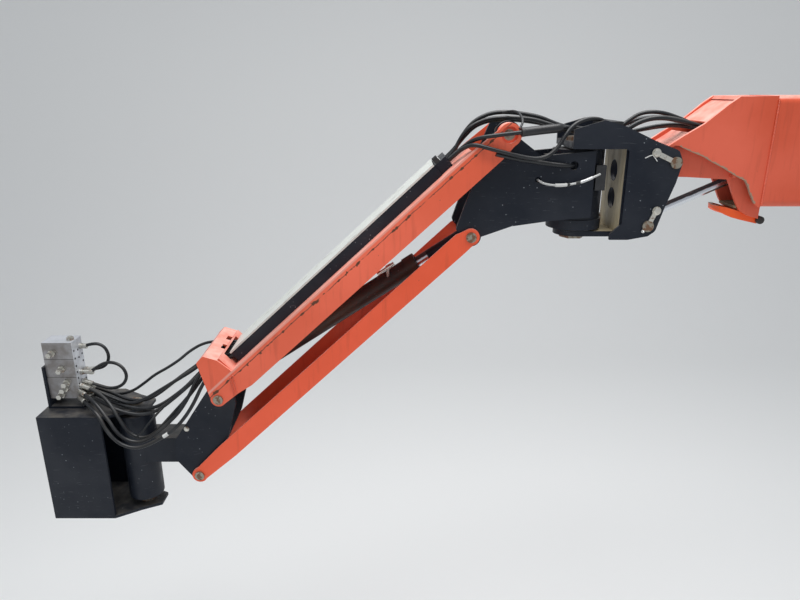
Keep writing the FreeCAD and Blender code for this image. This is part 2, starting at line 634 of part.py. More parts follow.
def platform_bracket():
    """Bracket that stays upright at the jib's end, with its neck and the rotator's housing."""
    d, c = PIVOT_D, PIVOT_C
    front = c[0] + BRACKET_REACH
    brow = c[1] + BRACKET_BROW_UP
    neck_low, neck_high = c[1] + NECK_LOW_UP, c[1] + NECK_HIGH_UP
    side_outline = [
        (d[0] - 45.0, d[1] - 35.0), (d[0] - 37.0, d[1] + 20.0), (d[0] + 3.0, d[1] + 44.0, 30.0),
        (d[0] + 47.0, d[1] + 12.0), (front, brow + 4.0), (front, neck_low + 36), (c[0] + 26, c[1] - 16),
        (c[0] - 6, c[1] - 30, 16.0), (c[0] - 32, c[1] - 6.0), (c[0] - 111.0, c[1] + 154.5),
    ]
    inside = BRACKET_OUT - BRACKET_PLATE
    side = plate(side_outline, (inside, BRACKET_OUT))
    face = box((front - BRACKET_SHEET, front), (-inside, inside), (neck_low + 40, brow))
    slope = [(c[0] + 13.0, c[1] + 207.5), (front, brow), (front - 10, brow - 4), (c[0] + 3.0, c[1] + 201.5)]
    neck_half = NECK_WIDE / 2
    neck = box((front - 6, ROTATOR_X), (-neck_half, neck_half), (neck_low, neck_high))
    housing = upright(ROTATOR_X, ROTATOR_R, (ROTATOR_FOOT, ROTATOR_TOP))
    body = fused(both(side) + [face, plate(slope, (-inside, inside)), neck, housing])
    body = body.cut(upright(ROTATOR_X, ROTATOR_SHAFT_R + RUNNING, (ROTATOR_FOOT, ROTATOR_TOP)))
    for pin in (d, c):
        body = body.cut(across(pin, ARM_PIN_R + RUNNING, (-BRACKET_OUT, BRACKET_OUT)))
    return body


def rotator_shaft():
    return upright(ROTATOR_X, ROTATOR_SHAFT_R, (SUPPORT_FOOT - 8, SUPPORT_TOP + SUPPORT_PLATE + 8))


def platform_support():
    """C-shaped support that turns on the rotator: side, top, bottom and face plates."""
    half, inside = SUPPORT_WIDE / 2, SUPPORT_WIDE / 2 - SUPPORT_PLATE
    side = box((SUPPORT_REAR_X, SUPPORT_FACE_X), (inside, half), (SUPPORT_FOOT, SUPPORT_TOP))
    face = box((SUPPORT_FACE_X - FACE_PLATE, SUPPORT_FACE_X), (-half, half), (SUPPORT_FOOT, SUPPORT_TOP))
    for y in (-BOLT_SPACE_Y / 2, BOLT_SPACE_Y / 2):
        for z in (-BOLT_SPACE_Z / 2, BOLT_SPACE_Z / 2):
            middle = (SUPPORT_TOP + SUPPORT_FOOT) / 2
            face = face.cut(
                lengthways(BOLT_HOLE_R, (SUPPORT_FACE_X - FACE_PLATE, SUPPORT_FACE_X), y, middle + z))

    def shelf(low):
        nose_x = ROTATOR_X - SUPPORT_NOSE
        corners = [
            (SUPPORT_FACE_X, half), (SUPPORT_REAR_X, half), (ROTATOR_X, SUPPORT_NOSE), (nose_x, SUPPORT_NOSE / 2),
            (nose_x, -SUPPORT_NOSE / 2), (ROTATOR_X, -SUPPORT_NOSE), (SUPPORT_REAR_X, -half),
            (SUPPORT_FACE_X, -half), (SUPPORT_FACE_X, half),
        ]
        flat = Part.Face(Part.makePolygon([V(x, y, low) for x, y in corners]))
        return flat.extrude(V(0, 0, SUPPORT_PLATE))

    body = fused(both(side) + [face, shelf(SUPPORT_TOP), shelf(SUPPORT_FOOT - SUPPORT_PLATE)])
    return body.cut(
        upright(ROTATOR_X, ROTATOR_SHAFT_R + RUNNING, (SUPPORT_FOOT - 50, SUPPORT_TOP + 50)))


def valve_mount():
    """Folded plate that carries the valve block above the support."""
    low, half = SUPPORT_TOP + SUPPORT_PLATE, 45.0
    back = BLOCK_X + BLOCK_LONG / 2 + MOUNT_SHEET / 2
    foot = box((back - 112, back + MOUNT_SHEET), (-half, half), (low, low + MOUNT_SHEET))
    stand = box((back, back + MOUNT_SHEET), (-half, half), (low, BLOCK_FOOT + 120))
    return fused([foot, stand])


def valve_block():
    long, half = BLOCK_LONG / 2, BLOCK_WIDE / 2
    return box((BLOCK_X - long, BLOCK_X + long + MOUNT_SHEET / 2), (-half, half), (BLOCK_FOOT, BLOCK_FOOT + BLOCK_TALL))


def valve_cartridges():
    """Screw-in valves on the near face of the block: a hexagon body and a narrower hexagon cap."""
    rows = []
    face = BLOCK_WIDE / 2
    # height above the block's foot, distance along X from its middle
    for height, along in ((18.0, 8.0), (40.0, -6.0), (62.0, -16.0), (112.0, -6.0), (170.0, 18.0)):
        place = V(BLOCK_X + along, face, BLOCK_FOOT + height)
        nut = hexagon(13.0, place, 12.0, V(0, 1, 0))
        rows.append(fused([nut, hexagon(9.0, place, 32.0, V(0, 1, 0))]))
    return Part.makeCompound(rows)


def nose_saddle():
    """Block on the nose's rear web that holds the hoses where they enter the boom."""
    half = 60.0
    x = (FORK_REAR + 15 - SADDLE_LONG, FORK_REAR + 15)
    return box(x, (-half, half), (WEB_TOP, WEB_TOP + NOSE_SADDLE_TALL))


def knuckle_saddle():
    """Block on the knuckle's upper ear, where the hoses of the boom and of the jib meet."""
    half, low = 88.0, EAR_LOW + EAR_PLATE
    x = (KNUCKLE_SADDLE_X, KNUCKLE_SADDLE_X + SADDLE_LONG)
    return box(x, (-half, half), (low, low + KNUCKLE_SADDLE_TALL))


NODES = {
    "boom_tube": boom_tube,
    "boom_nose": boom_nose,
    "nose_guard": nose_guard,
    "level_foot_pin": lambda: across(LEVEL_FOOT, LEVEL_PIN_R, (-BOOM_WIDE / 2 - 4, BOOM_WIDE / 2 + 4)),
    "level_barrel": level_barrel,
    "level_rod": level_rod,
    "knuckle": knuckle,
    "level_pin": level_pin,
    "level_keepers": level_keepers,
    "eye_pin_stubs": eye_pin_stubs,
    "swing_shaft": swing_shaft,
    "jib_base": jib_base,
    "swing_valve": swing_valve,
    "upper_arm_pin": upper_arm_pin,
    "lower_arm_pins": lower_arm_pins,
    "upper_arm": upper_arm,
    "hose_tray": hose_tray,
    "tray_lid": tray_lid,
    "tray_clamp": tray_clamp,
    "hose_hood": hose_hood,
    "bracket_pin_upper": lambda: bracket_pin(PIVOT_D, UPPER_WIDE / 2),
    "lower_arm": lower_arm,
    "bracket_pin_lower": lambda: bracket_pin(PIVOT_C, LOWER_WIDE / 2),
    "lift_barrel": lift_barrel,
    "lift_rod": lift_rod,
    "lift_rod_eye": lift_rod_eye,
    "platform_bracket": platform_bracket,
    "rotator_shaft": rotator_shaft,
    "platform_support": platform_support,
    "valve_mount": valve_mount,
    "valve_block": valve_block,
    "valve_cartridges": valve_cartridges,
    "nose_saddle": nose_saddle,
    "knuckle_saddle": knuckle_saddle,
}
shapes = {name: make() for name, make in NODES.items()}
shapes.update((name, hose(name)) for name in HOSES)

os.makedirs("parts", exist_ok=True)
for name, shape in shapes.items():
    shape.translate(ORIGIN_SHIFT)
    print(name, "valid" if shape.isValid() else "NOT VALID", len(shape.Solids), round(shape.Volume))
    shape.exportStep(f"parts/{name}.step")
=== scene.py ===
import json
import math

import bmesh
import bpy
import numpy as np
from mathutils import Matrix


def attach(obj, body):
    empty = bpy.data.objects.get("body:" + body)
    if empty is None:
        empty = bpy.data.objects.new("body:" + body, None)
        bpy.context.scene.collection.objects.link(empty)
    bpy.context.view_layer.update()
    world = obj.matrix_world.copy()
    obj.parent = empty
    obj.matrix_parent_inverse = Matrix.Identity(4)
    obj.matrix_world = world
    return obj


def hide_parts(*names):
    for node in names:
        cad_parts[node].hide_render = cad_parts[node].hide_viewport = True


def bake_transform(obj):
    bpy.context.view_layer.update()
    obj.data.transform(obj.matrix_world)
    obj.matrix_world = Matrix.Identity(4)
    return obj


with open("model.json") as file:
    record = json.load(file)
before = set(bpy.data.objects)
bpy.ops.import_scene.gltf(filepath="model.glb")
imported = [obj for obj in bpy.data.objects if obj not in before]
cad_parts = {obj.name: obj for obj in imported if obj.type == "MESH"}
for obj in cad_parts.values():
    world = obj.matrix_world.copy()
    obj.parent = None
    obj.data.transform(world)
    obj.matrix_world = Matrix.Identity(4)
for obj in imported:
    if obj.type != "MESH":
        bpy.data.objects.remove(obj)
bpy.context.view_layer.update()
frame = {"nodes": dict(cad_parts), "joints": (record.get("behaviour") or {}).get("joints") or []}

bl_info = {
    "name": "Boom Lift Jib",
    "version": (1, 0, 0),
    "blender": (4, 5, 0),
    "location": "View3D > Sidebar > Jib",
    "description": "Dresses the side-swinging jib of an articulating boom lift and the boom nose it hangs on",
    "category": "Object",
}


# Places taken from the frame

def joint_place(name):
    """Axis place of a joint in the row frame, as an array."""
    return np.array(next(j["pos_m"] for j in frame["joints"] if j["name"] == name), float)


NOSE_PIN = joint_place("knuckle_level")
PIVOT_A = joint_place("jib_lift")
PIVOT_D = joint_place("bracket_level")
ARM_WAY = (PIVOT_D - PIVOT_A) / np.linalg.norm(PIVOT_D - PIVOT_A)
ARM_DROP = math.atan2(-ARM_WAY[2], ARM_WAY[0])


def from_pin(points):
    """Places in millimetres from the nose pin, as places in the row frame in metres."""
    return np.asarray(points, float) * 0.001 + NOSE_PIN


# Surfaces

def distances(line):
    """How far along a line of points each of them lies: the summed lengths of the steps before it."""
    return np.concatenate([[0.0], np.cumsum(np.linalg.norm(np.diff(line, axis=0), axis=1))])


def grid_mesh(name, points, closed_v=False, capped=False):
    """Mesh of a grid of points (rows, columns, 3). Closed rows may be capped by their first and last rings."""
    rows, columns = points.shape[:2]
    index = np.arange(rows * columns).reshape(rows, columns)
    wrapped = np.hstack([index, index[:, :1]]) if closed_v else index
    quads = np.stack([wrapped[:-1, :-1], wrapped[:-1, 1:], wrapped[1:, 1:], wrapped[1:, :-1]], axis=-1)
    faces = quads.reshape(-1, 4).tolist()
    if capped:
        faces += [index[0, ::-1].tolist(), index[-1].tolist()]
    mesh = bpy.data.meshes.new(name)
    mesh.from_pydata(points.reshape(-1, 3).tolist(), [], faces)
    mesh.update()
    return mesh


def placed(name, mesh, material=None):
    """An object at the origin that shows the mesh."""
    piece = bpy.data.objects.new(name, mesh)
    bpy.context.scene.collection.objects.link(piece)
    if material is not None:
        mesh.materials.append(material)
    return piece


def smooth(mesh, angle=35.0):
    """Shades a mesh smooth, with edges sharper than the angle kept."""
    mesh.shade_smooth()
    mesh.set_sharp_from_angle(angle=math.radians(angle))


# Hoses

def route_line(points):
    """Points along the smooth line of a hose: a NURBS spline whose control points are the route's."""
    curve = bpy.data.curves.new("route", "CURVE")
    curve.dimensions = "3D"
    curve.resolution_u = 10
    spline = curve.splines.new("NURBS")
    spline.points.add(len(points) - 1)
    spline.points.foreach_set("co", np.hstack([points, np.ones((len(points), 1))]).astype(np.float32).ravel())
    spline.order_u = 3
    spline.use_endpoint_u = True
    holder = bpy.data.objects.new("route", curve)
    bpy.context.scene.collection.objects.link(holder)
    bpy.context.view_layer.update()
    mesh = bpy.data.meshes.new_from_object(holder)
    line = np.empty(len(mesh.vertices) * 3, np.float32)
    mesh.vertices.foreach_get("co", line)
    bpy.data.meshes.remove(mesh)
    bpy.data.objects.remove(holder)
    bpy.data.curves.remove(curve)
    return line.reshape(-1, 3).astype(float)


def ring_frames(line):
    """Two unit vectors square to the line at each of its points, turned from one fixed axis.

    The line's way at a point is the central difference of its neighbours, or the step onwards where it turns back.
    """
    way = np.gradient(line, axis=0)
    turned_back = np.linalg.norm(way, axis=1) < 1e-9
    way[turned_back] = (np.roll(line, -1, axis=0) - line)[turned_back]
    way /= np.linalg.norm(way, axis=1, keepdims=True)
    axis = np.eye(3)[np.argmin(np.abs(way).max(axis=0))]
    first = axis - way * (way @ axis)[:, None]
    first /= np.linalg.norm(first, axis=1, keepdims=True)
    return first, np.cross(way, first)


def tube_mesh(name, line, radii, sides=16):
    """Closed tube round a line: a point is line + radius * (cos a * first + sin a * second), capped at both ends."""
    first, second = ring_frames(line)
    turn = np.linspace(0, 2 * np.pi, sides, endpoint=False)
    radii = np.broadcast_to(np.asarray(radii, float), (len(line),))
    spokes = np.cos(turn)[None, :, None] * first[:, None] + np.sin(turn)[None, :, None] * second[:, None]
    points = line[:, None] + radii[:, None, None] * spokes
    mesh = grid_mesh(name, points, closed_v=True, capped=True)
    along = distances(line)
    corner = np.empty(len(mesh.loops), np.int32)
    mesh.loops.foreach_get("vertex_index", corner)
    table = np.stack([along[corner // sides], (corner % sides) / sides], axis=1)
    mesh.uv_layers.new(name="UVMap").data.foreach_set("uv", table.astype(np.float32).ravel())
    smooth(mesh)
    return mesh


def turned(name, start, way, profile, sides=24):
    """Turned piece: the profile's (distance along, radius) pairs, in millimetres, swept round an axis."""
    profile = np.asarray(profile, float) * 0.001
    way = np.asarray(way, float) / np.linalg.norm(way)
    line = np.asarray(start, float) + profile[:, :1] * way
    side = np.eye(3)[np.argmin(np.abs(way))]
    first = side - way * (way @ side)
    first /= np.linalg.norm(first)
    second = np.cross(way, first)
    turn = np.linspace(0, 2 * np.pi, sides, endpoint=False)
    spokes = np.cos(turn)[:, None] * first + np.sin(turn)[:, None] * second
    points = line[:, None] + profile[:, 1, None, None] * spokes
    mesh = grid_mesh(name, points, closed_v=True, capped=True)
    smooth(mesh)
    return mesh


def along_line(line, places):
    """Points at the given distances, in millimetres, along a line of points."""
    run = distances(line) * 1000
    return np.stack([np.interp(places, run, line[:, axis]) for axis in range(3)], axis=1)


def sleeve(name, line, start, profile, sides=20):
    """Piece threaded on a line: (distance past the start, radius) pairs in millimetres, so that it bends with it."""
    profile = np.asarray(profile, float)
    return tube_mesh(name, along_line(line, start + profile[:, 0]), profile[:, 1] * 0.001, sides)


def inset(outline, amount):
    """The outline moved inwards: each corner slides along the halving line of its two edges."""
    way = np.roll(outline, -1, axis=0) - outline
    way /= np.linalg.norm(way, axis=1, keepdims=True)
    turn = 1.0 if np.sum(np.cross(outline, np.roll(outline, -1, axis=0))) > 0 else -1.0
    normal = turn * np.stack([-way[:, 1], way[:, 0]], axis=1)
    before = np.roll(normal, 1, axis=0)
    halving = (normal + before) / np.maximum(1 + np.sum(normal * before, axis=1, keepdims=True), 0.4)
    return outline + halving * amount


def plate(name, outline, near, far, edge=1.0):
    """Flat plate with chamfered rims, in millimetres from the nose pin.

    Its (x, z) outline is carried from y = near to y = far, and is inset by the edge at both faces.
    """
    outline = np.asarray(outline, float)
    small = inset(outline, edge)
    rings = []
    step = np.sign(far - near) * edge
    for ring, y in ((small, near), (outline, near + step), (outline, far - step), (small, far)):
        rings.append(np.stack([ring[:, 0], np.full(len(ring), y), ring[:, 1]], axis=1))
    mesh = grid_mesh(name, from_pin(np.stack(rings)), closed_v=True, capped=True)
    outward(mesh)
    smooth(mesh, 30.0)
    return mesh


def outward(mesh):
    """Turns every face of a closed mesh outwards."""
    table = bmesh.new()
    table.from_mesh(mesh)
    bmesh.ops.recalc_face_normals(table, faces=table.faces)
    table.to_mesh(mesh)
    table.free()


def lofted(name, rings):
    """Closed skin through rings of points (rings, points, 3), in millimetres from the nose pin."""
    mesh = grid_mesh(name, from_pin(np.asarray(rings, float)), closed_v=True, capped=True)
    outward(mesh)
    smooth(mesh, 30.0)
    return mesh


def mirrored(name, outline, near, far):
    """A plate and its twin across the mid-plane."""
    return [plate(name, outline, near, far), plate(name, outline, -near, -far)]


def bolt(place, way, radius):
    """Hexagon head on a round washer, both turned about the way out; the head is a turned piece of six sides."""
    thick = 1.6
    top = thick + radius * 0.62
    washer = turned("Washer", place, way, [
        (0, radius * 0.4), (0, radius * 1.2), (thick, radius * 1.2), (thick, radius * 0.6)])
    head = turned("Head", place, way, [
        (1.2, radius * 0.5), (1.2, radius), (1 + radius * 0.6, radius), (top, radius * 0.86), (top, radius * 0.3)], 6)
    return [washer, head]


def bead(name, start, end, radius):
    """Weld bead: a low tube whose radius ripples as a sine of the distance, one ripple each four millimetres."""
    long = np.linalg.norm(end - start)
    share = np.linspace(0, 1, max(12, int(long * 1000)))
    line = start + share[:, None] * (end - start)
    radii = radius * 0.001 * (1 + 0.16 * np.sin(share * long * 1000 * 2 * np.pi / 4.0))
    return tube_mesh(name, line, radii, 10)


def joined(name, meshes, material=None):
    """One object of several meshes."""
    table = bmesh.new()
    for mesh in meshes:
        table.from_mesh(mesh)
        bpy.data.meshes.remove(mesh)
    whole = bpy.data.meshes.new(name)
    table.to_mesh(whole)
    table.free()
    whole.set_sharp_from_angle(angle=math.radians(35.0))
    return placed(name, whole, material)


# Materials

# Metres: the upper arm's top edge over its pivot line, its side from the mid-plane, and the crack line below the edge
ARM_TOP, ARM_SIDE, CRACK_BELOW = 0.039, 0.136, 0.0165


class Finish:
    """A node material with one principled shader, and short ways to add the nodes that feed it."""

    def __init__(self, name, colour, roughness, metallic=0.0):
        self.material = bpy.data.materials.new(name)
        self.material.use_nodes = True
        self.tree = self.material.node_tree
        self.shader = self.tree.nodes["Principled BSDF"]
        self.shader.inputs["Base Color"].default_value = (*colour, 1)
        self.shader.inputs["Roughness"].default_value = roughness
        self.shader.inputs["Metallic"].default_value = metallic
        self.place = self.tree.nodes.new("ShaderNodeTexCoord")

    def feed(self, socket, value):
        """Links a node's output to the socket, or sets the socket to a constant."""
        if isinstance(value, bpy.types.NodeSocket):
            self.tree.links.new(value, socket)
        elif value is not None:
            socket.default_value = value

    def node(self, kind, settings=None, **values):
        """Adds a shader node with its settings and with the inputs named by the values."""
        made = self.tree.nodes.new("ShaderNode" + kind)
        for key, value in (settings or {}).items():
            setattr(made, key, value)
        for key, value in values.items():
            self.feed(made.inputs[key.replace("_", " ")], value)
        return made

    def noise(self, scale, detail=3.0, where=None):
        """Fractal noise over the object's own coordinates, or over the given ones."""
        made = self.node("TexNoise", Scale=scale, Detail=detail, Roughness=0.5)
        self.feed(made.inputs["Vector"], where or self.place.outputs["Object"])
        return made.outputs["Fac"]

    def stretched(self, scale, turn=(0, 0, 0)):
        """The object's own coordinates, scaled and turned, so that a pattern on them is drawn out."""
        made = self.node("Mapping", Scale=scale, Rotation=turn)
        self.feed(made.inputs["Vector"], self.place.outputs["Object"])
        return made.outputs["Vector"]

    def facing(self):
        """How far the surface faces along the object's own X, Y and Z."""
        return self.node("SeparateXYZ", Vector=self.place.outputs["Normal"]).outputs

    def where(self):
        """The place in the object's own X, Y and Z."""
        return self.node("SeparateXYZ", Vector=self.place.outputs["Object"]).outputs

    def between(self, value, low, high, to_low=0.0, to_high=1.0):
        """The value mapped straight from one range to another, and held at its ends."""
        made = self.node(
            "MapRange", {"clamp": True}, Value=value, From_Min=low, From_Max=high, To_Min=to_low, To_Max=to_high)
        return made.outputs["Result"]

    def cloud(self, scale, detail, low, high, to_low=0.0, to_high=1.0):
        """Soft patches: noise of that scale, mapped from one range to another."""
        return self.between(self.noise(scale, detail), low, high, to_low, to_high)

    def times(self, first, second):
        """Product of two values."""
        return self.sum("MULTIPLY", first, second)

    def gap(self, first, second):
        """Distance between two values."""
        return self.sum("ABSOLUTE", self.sum("SUBTRACT", first, second))

    def sum(self, operation, first, second=None):
        """One operation of arithmetic on one or two values."""
        made = self.node("Math", {"operation": operation})
        self.feed(made.inputs[0], first)
        self.feed(made.inputs[1], second)
        return made.outputs[0]

    def blend(self, share, first, second):
        """The first colour, with its share of the second over it."""
        made = self.node("Mix", {"data_type": "RGBA"})
        self.feed(made.inputs["Factor"], share)
        self.feed(made.inputs[6], first if isinstance(first, bpy.types.NodeSocket) else (*first, 1))
        self.feed(made.inputs[7], second if isinstance(second, bpy.types.NodeSocket) else (*second, 1))
        return made.outputs[2]

    def bump(self, height, strength, distance):
        """Normals of a fine relief."""
        return self.node("Bump", Strength=strength, Distance=distance, Height=height).outputs["Normal"]

    def finish(self, colour=None, roughness=None, normal=None, metallic=None):
        """Feeds the shader what is given, and hands back the material."""
        self.feed(self.shader.inputs["Base Color"], colour)
        self.feed(self.shader.inputs["Roughness"], roughness)
        self.feed(self.shader.inputs["Normal"], normal)
        self.feed(self.shader.inputs["Metallic"], metallic)
        return self.material


def orange_paint(name, colour, edge_top=None, edge_side=0.0):
    """Faded orange paint with fine peel, streaks, specks, and pale dust with a painted highlight on what faces up.

    With an edge, given by its height over the arm's pivot line and its distance from the mid-plane, the paint has
    a painted highlight along that edge, and a crack line with rust chips CRACK_BELOW under it.
    """
    f = Finish(name, colour, 0.42)
    faded = tuple(min(1.0, c * 1.16 + 0.03) for c in colour)
    dark = tuple(c * 0.62 for c in colour)
    patches = f.cloud(3.2, 5.0, 0.35, 0.7)
    body = f.blend(patches, colour, faded)
    streaks = f.between(f.noise(1.0, 4.0, f.stretched((60, 60, 6))), 0.56, 0.75, 0, 0.35)
    body = f.blend(streaks, body, dark)
    speck = f.cloud(120.0, 3.0, 0.745, 0.78)
    body = f.blend(speck, body, (0.10, 0.05, 0.035))
    up = f.facing()["Z"]
    # Pale tone on what faces up: partly dust, partly a painted highlight on top faces.
    up_facing_tone = f.times(f.between(up, 0.5, 0.72), f.cloud(26.0, 4.0, 0.35, 0.65, 0.4, 0.8))
    body = f.blend(up_facing_tone, body, (0.80, 0.47, 0.40))
    rough = f.between(patches, 0, 1, 0.36, 0.55)
    if edge_top is not None:
        turned = f.node("VectorRotate", {"rotation_type": "Y_AXIS"}, Angle=-ARM_DROP)
        f.feed(turned.inputs["Vector"], f.place.outputs["Object"])
        f.feed(turned.inputs["Center"], tuple(PIVOT_A))
        parts = f.node("SeparateXYZ", Vector=turned.outputs[0])
        below = f.sum("SUBTRACT", float(PIVOT_A[2] + edge_top), parts.outputs["Z"])
        off_top = f.gap(below, CRACK_BELOW)
        off_side = f.gap(f.sum("ABSOLUTE", parts.outputs["Y"]), edge_side)
        reach = f.sum("MAXIMUM", off_top, off_side)
        ragged = f.sum("ADD", reach, f.cloud(46.0, 5.0, 0.3, 0.7, -0.004, 0.011))
        chipped = f.between(ragged, 0.002, 0.0035, 1, 0)
        on_side = f.between(off_side, 0.0005, 0.001, 1, 0)
        # Painted highlight: a pale band along the top edge of the arm's side.
        near_edge = f.gap(below, 0.002)
        painted_highlight = f.times(on_side, f.between(near_edge, 0.002, 0.005, 0.6, 0))
        body = f.blend(painted_highlight, body, (0.84, 0.46, 0.38))
        wander = f.sum("ADD", below, f.cloud(30.0, 3.0, 0.3, 0.7, -0.0015, 0.0015))
        line = f.between(f.gap(wander, CRACK_BELOW), 0.0009, 0.0019, 0.8, 0)
        crack = f.times(f.times(on_side, line), f.cloud(11.0, 3.0, 0.36, 0.46))
        body = f.blend(crack, body, (0.10, 0.04, 0.025))
        body = f.blend(chipped, body, (0.12, 0.045, 0.022))
        rough = f.sum("MAXIMUM", rough, f.times(chipped, 0.8))
    peel = f.bump(f.noise(420.0, 2.0), 0.10, 0.0006)
    return f.finish(body, rough, peel)


def unfaded(colour):
    """Bright paint that the sun has not reached, with dust on what faces up."""
    bright = (min(1.0, colour[0] * 1.45), colour[1] * 1.25, colour[2] * 0.35)
    f = Finish("Unfaded paint", bright, 0.4)
    up = f.facing()["Z"]
    up_facing_tone = f.times(f.between(up, 0.6, 0.9), f.cloud(30.0, 4.0, 0.3, 0.6, 0.6, 1.0))
    return f.finish(f.blend(up_facing_tone, bright, (0.30, 0.22, 0.13)), None, f.bump(f.noise(300.0, 2.0), 0.1, 0.0006))


def black_paint(name, colour, muddy=False, brown=False):
    """Blue-black paint with dust, water spots and scratches.

    Muddy adds dried mud to the knuckle's web, and brown a brown band, partly dust and partly a painted highlight, to
    a barrel's near side.
    """
    f = Finish(name, colour, 0.42)
    f.shader.inputs["Specular IOR Level"].default_value = 0.28
    dusty = tuple(c * 1.1 + 0.016 for c in colour)
    body = f.blend(f.cloud(5.0, 6.0, 0.42, 0.72, 0, 0.8), colour, dusty)
    cells = f.node("TexVoronoi", {"feature": "F1"}, Scale=60.0)
    f.feed(cells.inputs["Vector"], f.place.outputs["Object"])
    rare = f.cloud(14.0, 2.0, 0.50, 0.60)
    spots = f.times(f.between(cells.outputs["Distance"], 0.08, 0.13, 1, 0), rare)
    body = f.blend(f.times(spots, 0.6), body, (0.34, 0.37, 0.40))
    scratch = f.between(f.noise(9.0, 3.0, f.stretched((3, 3, 55), (0.3, 0.5, 0.2))), 0.68, 0.72, 0, 0.35)
    body = f.blend(scratch, body, (0.16, 0.165, 0.175))
    facing = f.facing()
    lying = f.times(f.between(facing["Z"], 0.6, 0.92), f.cloud(24.0, 5.0, 0.35, 0.65, 0.15, 0.75))
    body = f.blend(lying, body, (0.115, 0.105, 0.092))
    if brown:
        # Painted highlight, partly brown dust: a lighter brown band on the side facing +Y.
        side = f.between(facing["Y"], 0.35, 0.95)
        tint_and_painted_light = f.times(side, f.cloud(9.0, 5.0, 0.3, 0.6, 0.35, 0.9))
        body = f.blend(tint_and_painted_light, body, (0.085, 0.047, 0.031))
    if muddy:
        where = f.where()
        inside = f.between(f.sum("ABSOLUTE", where["Y"]), 0.097, 0.098, 1, 0)
        web = f.between(where["X"], NOSE_PIN[0] + 0.2, NOSE_PIN[0] + 0.21, 1, 0)
        upright = f.times(web, f.between(facing["X"], 0.85, 0.95))
        low = f.between(where["Z"], NOSE_PIN[2] - 0.16, NOSE_PIN[2] - 0.15, 1, 0)
        flat = f.times(low, f.between(facing["Z"], 0.3, 0.6))
        mask = f.times(inside, f.sum("MAXIMUM", upright, flat))
        streak = f.between(f.noise(1.0, 4.0, f.stretched((1, 45, 4))), 0.5, 0.72)
        mud = f.blend(streak, (0.50, 0.42, 0.27), (0.24, 0.17, 0.10))
        thick = f.times(mask, f.cloud(16.0, 4.0, 0.3, 0.5, 0.7, 0.97))
        body = f.blend(thick, body, mud)
    rough = f.cloud(22.0, 4.0, 0.3, 0.7, 0.36, 0.58)
    peel = f.bump(f.noise(300.0, 2.0), 0.12, 0.0006)
    return f.finish(body, rough, peel)


def bare_metal(name, colour, roughness, rust=0.0, metallic=1.0):
    """Turned or plated steel, darker and browner in patches as rust says."""
    f = Finish(name, colour, roughness, metallic)
    body = metal = None
    if rust:
        patch = f.cloud(70.0, 5.0, 0.62 - 0.3 * rust, 0.72 - 0.3 * rust, 0, 0.95)
        body = f.blend(patch, colour, (0.16, 0.075, 0.035))
        metal = f.between(patch, 0, 1, metallic, 0.15)
    rough = f.cloud(90.0, 4.0, 0.3, 0.7, roughness * 0.8, roughness * 1.35)
    return f.finish(body, rough, f.bump(f.noise(500.0, 2.0), 0.08, 0.0004), metal)


def chrome_with_painted_reflection(name, colour):
    """Hard chrome whose upper side is painted dark, rougher and less metallic: a painted reflection of dark
    surroundings.
    """
    f = Finish(name, colour, 0.24, 1.0)
    up = f.facing()["Z"]
    # Painted reflection: the upper side is darkened, and made rougher and less metallic.
    tint_and_painted_light = f.between(f.sum("ADD", up, f.cloud(40.0, 3.0, 0.3, 0.7, -0.08, 0.08)), 0.30, 0.46, 0, 0.95)
    body = f.blend(tint_and_painted_light, colour, (0.018, 0.02, 0.028))
    return f.finish(body, f.between(tint_and_painted_light, 0, 1, 0.24, 0.5), None, f.between(tint_and_painted_light, 0, 1, 1.0, 0.1))


def pale_sheet(name, colour):
    """Pale grey sheet with long rubbed marks and dark patches of dirt."""
    f = Finish(name, colour, 0.4)
    rubbed = f.between(f.noise(2.0, 5.0, f.stretched((4, 60, 4), (0, ARM_DROP, 0))), 0.5, 0.75, 0, 0.4)
    body = f.blend(rubbed, colour, tuple(c * 0.55 for c in colour))
    body = f.blend(f.cloud(24.0, 4.0, 0.55, 0.75, 0, 0.5), body, (0.20, 0.19, 0.17))
    return f.finish(body, f.between(rubbed, 0, 1, 0.34, 0.6), f.bump(f.noise(120.0, 3.0), 0.08, 0.0006))


def hose_rubber(name, colour):
    """Black hose cover with dusty scuffs along it and a faint wrapped texture from its own UV map."""
    f = Finish(name, colour, 0.5)
    own = f.place.outputs["UV"]
    scuff = f.cloud(9.0, 5.0, 0.54, 0.74, 0, 0.45)
    body = f.blend(scuff, colour, (0.075, 0.078, 0.082))
    up = f.facing()["Z"]
    lying = f.times(f.between(up, 0.2, 0.9), f.cloud(7.0, 5.0, 0.5, 0.64, 0.0, 0.5))
    body = f.blend(lying, body, (0.085, 0.077, 0.068))
    wrap = f.node("TexWave", {"wave_type": "BANDS", "bands_direction": "X"}, Scale=260.0, Distortion=0.4)
    f.feed(wrap.inputs["Vector"], own)
    return f.finish(body, f.between(scuff, 0, 1, 0.33, 0.65), f.bump(wrap.outputs["Fac"], 0.10, 0.0004))


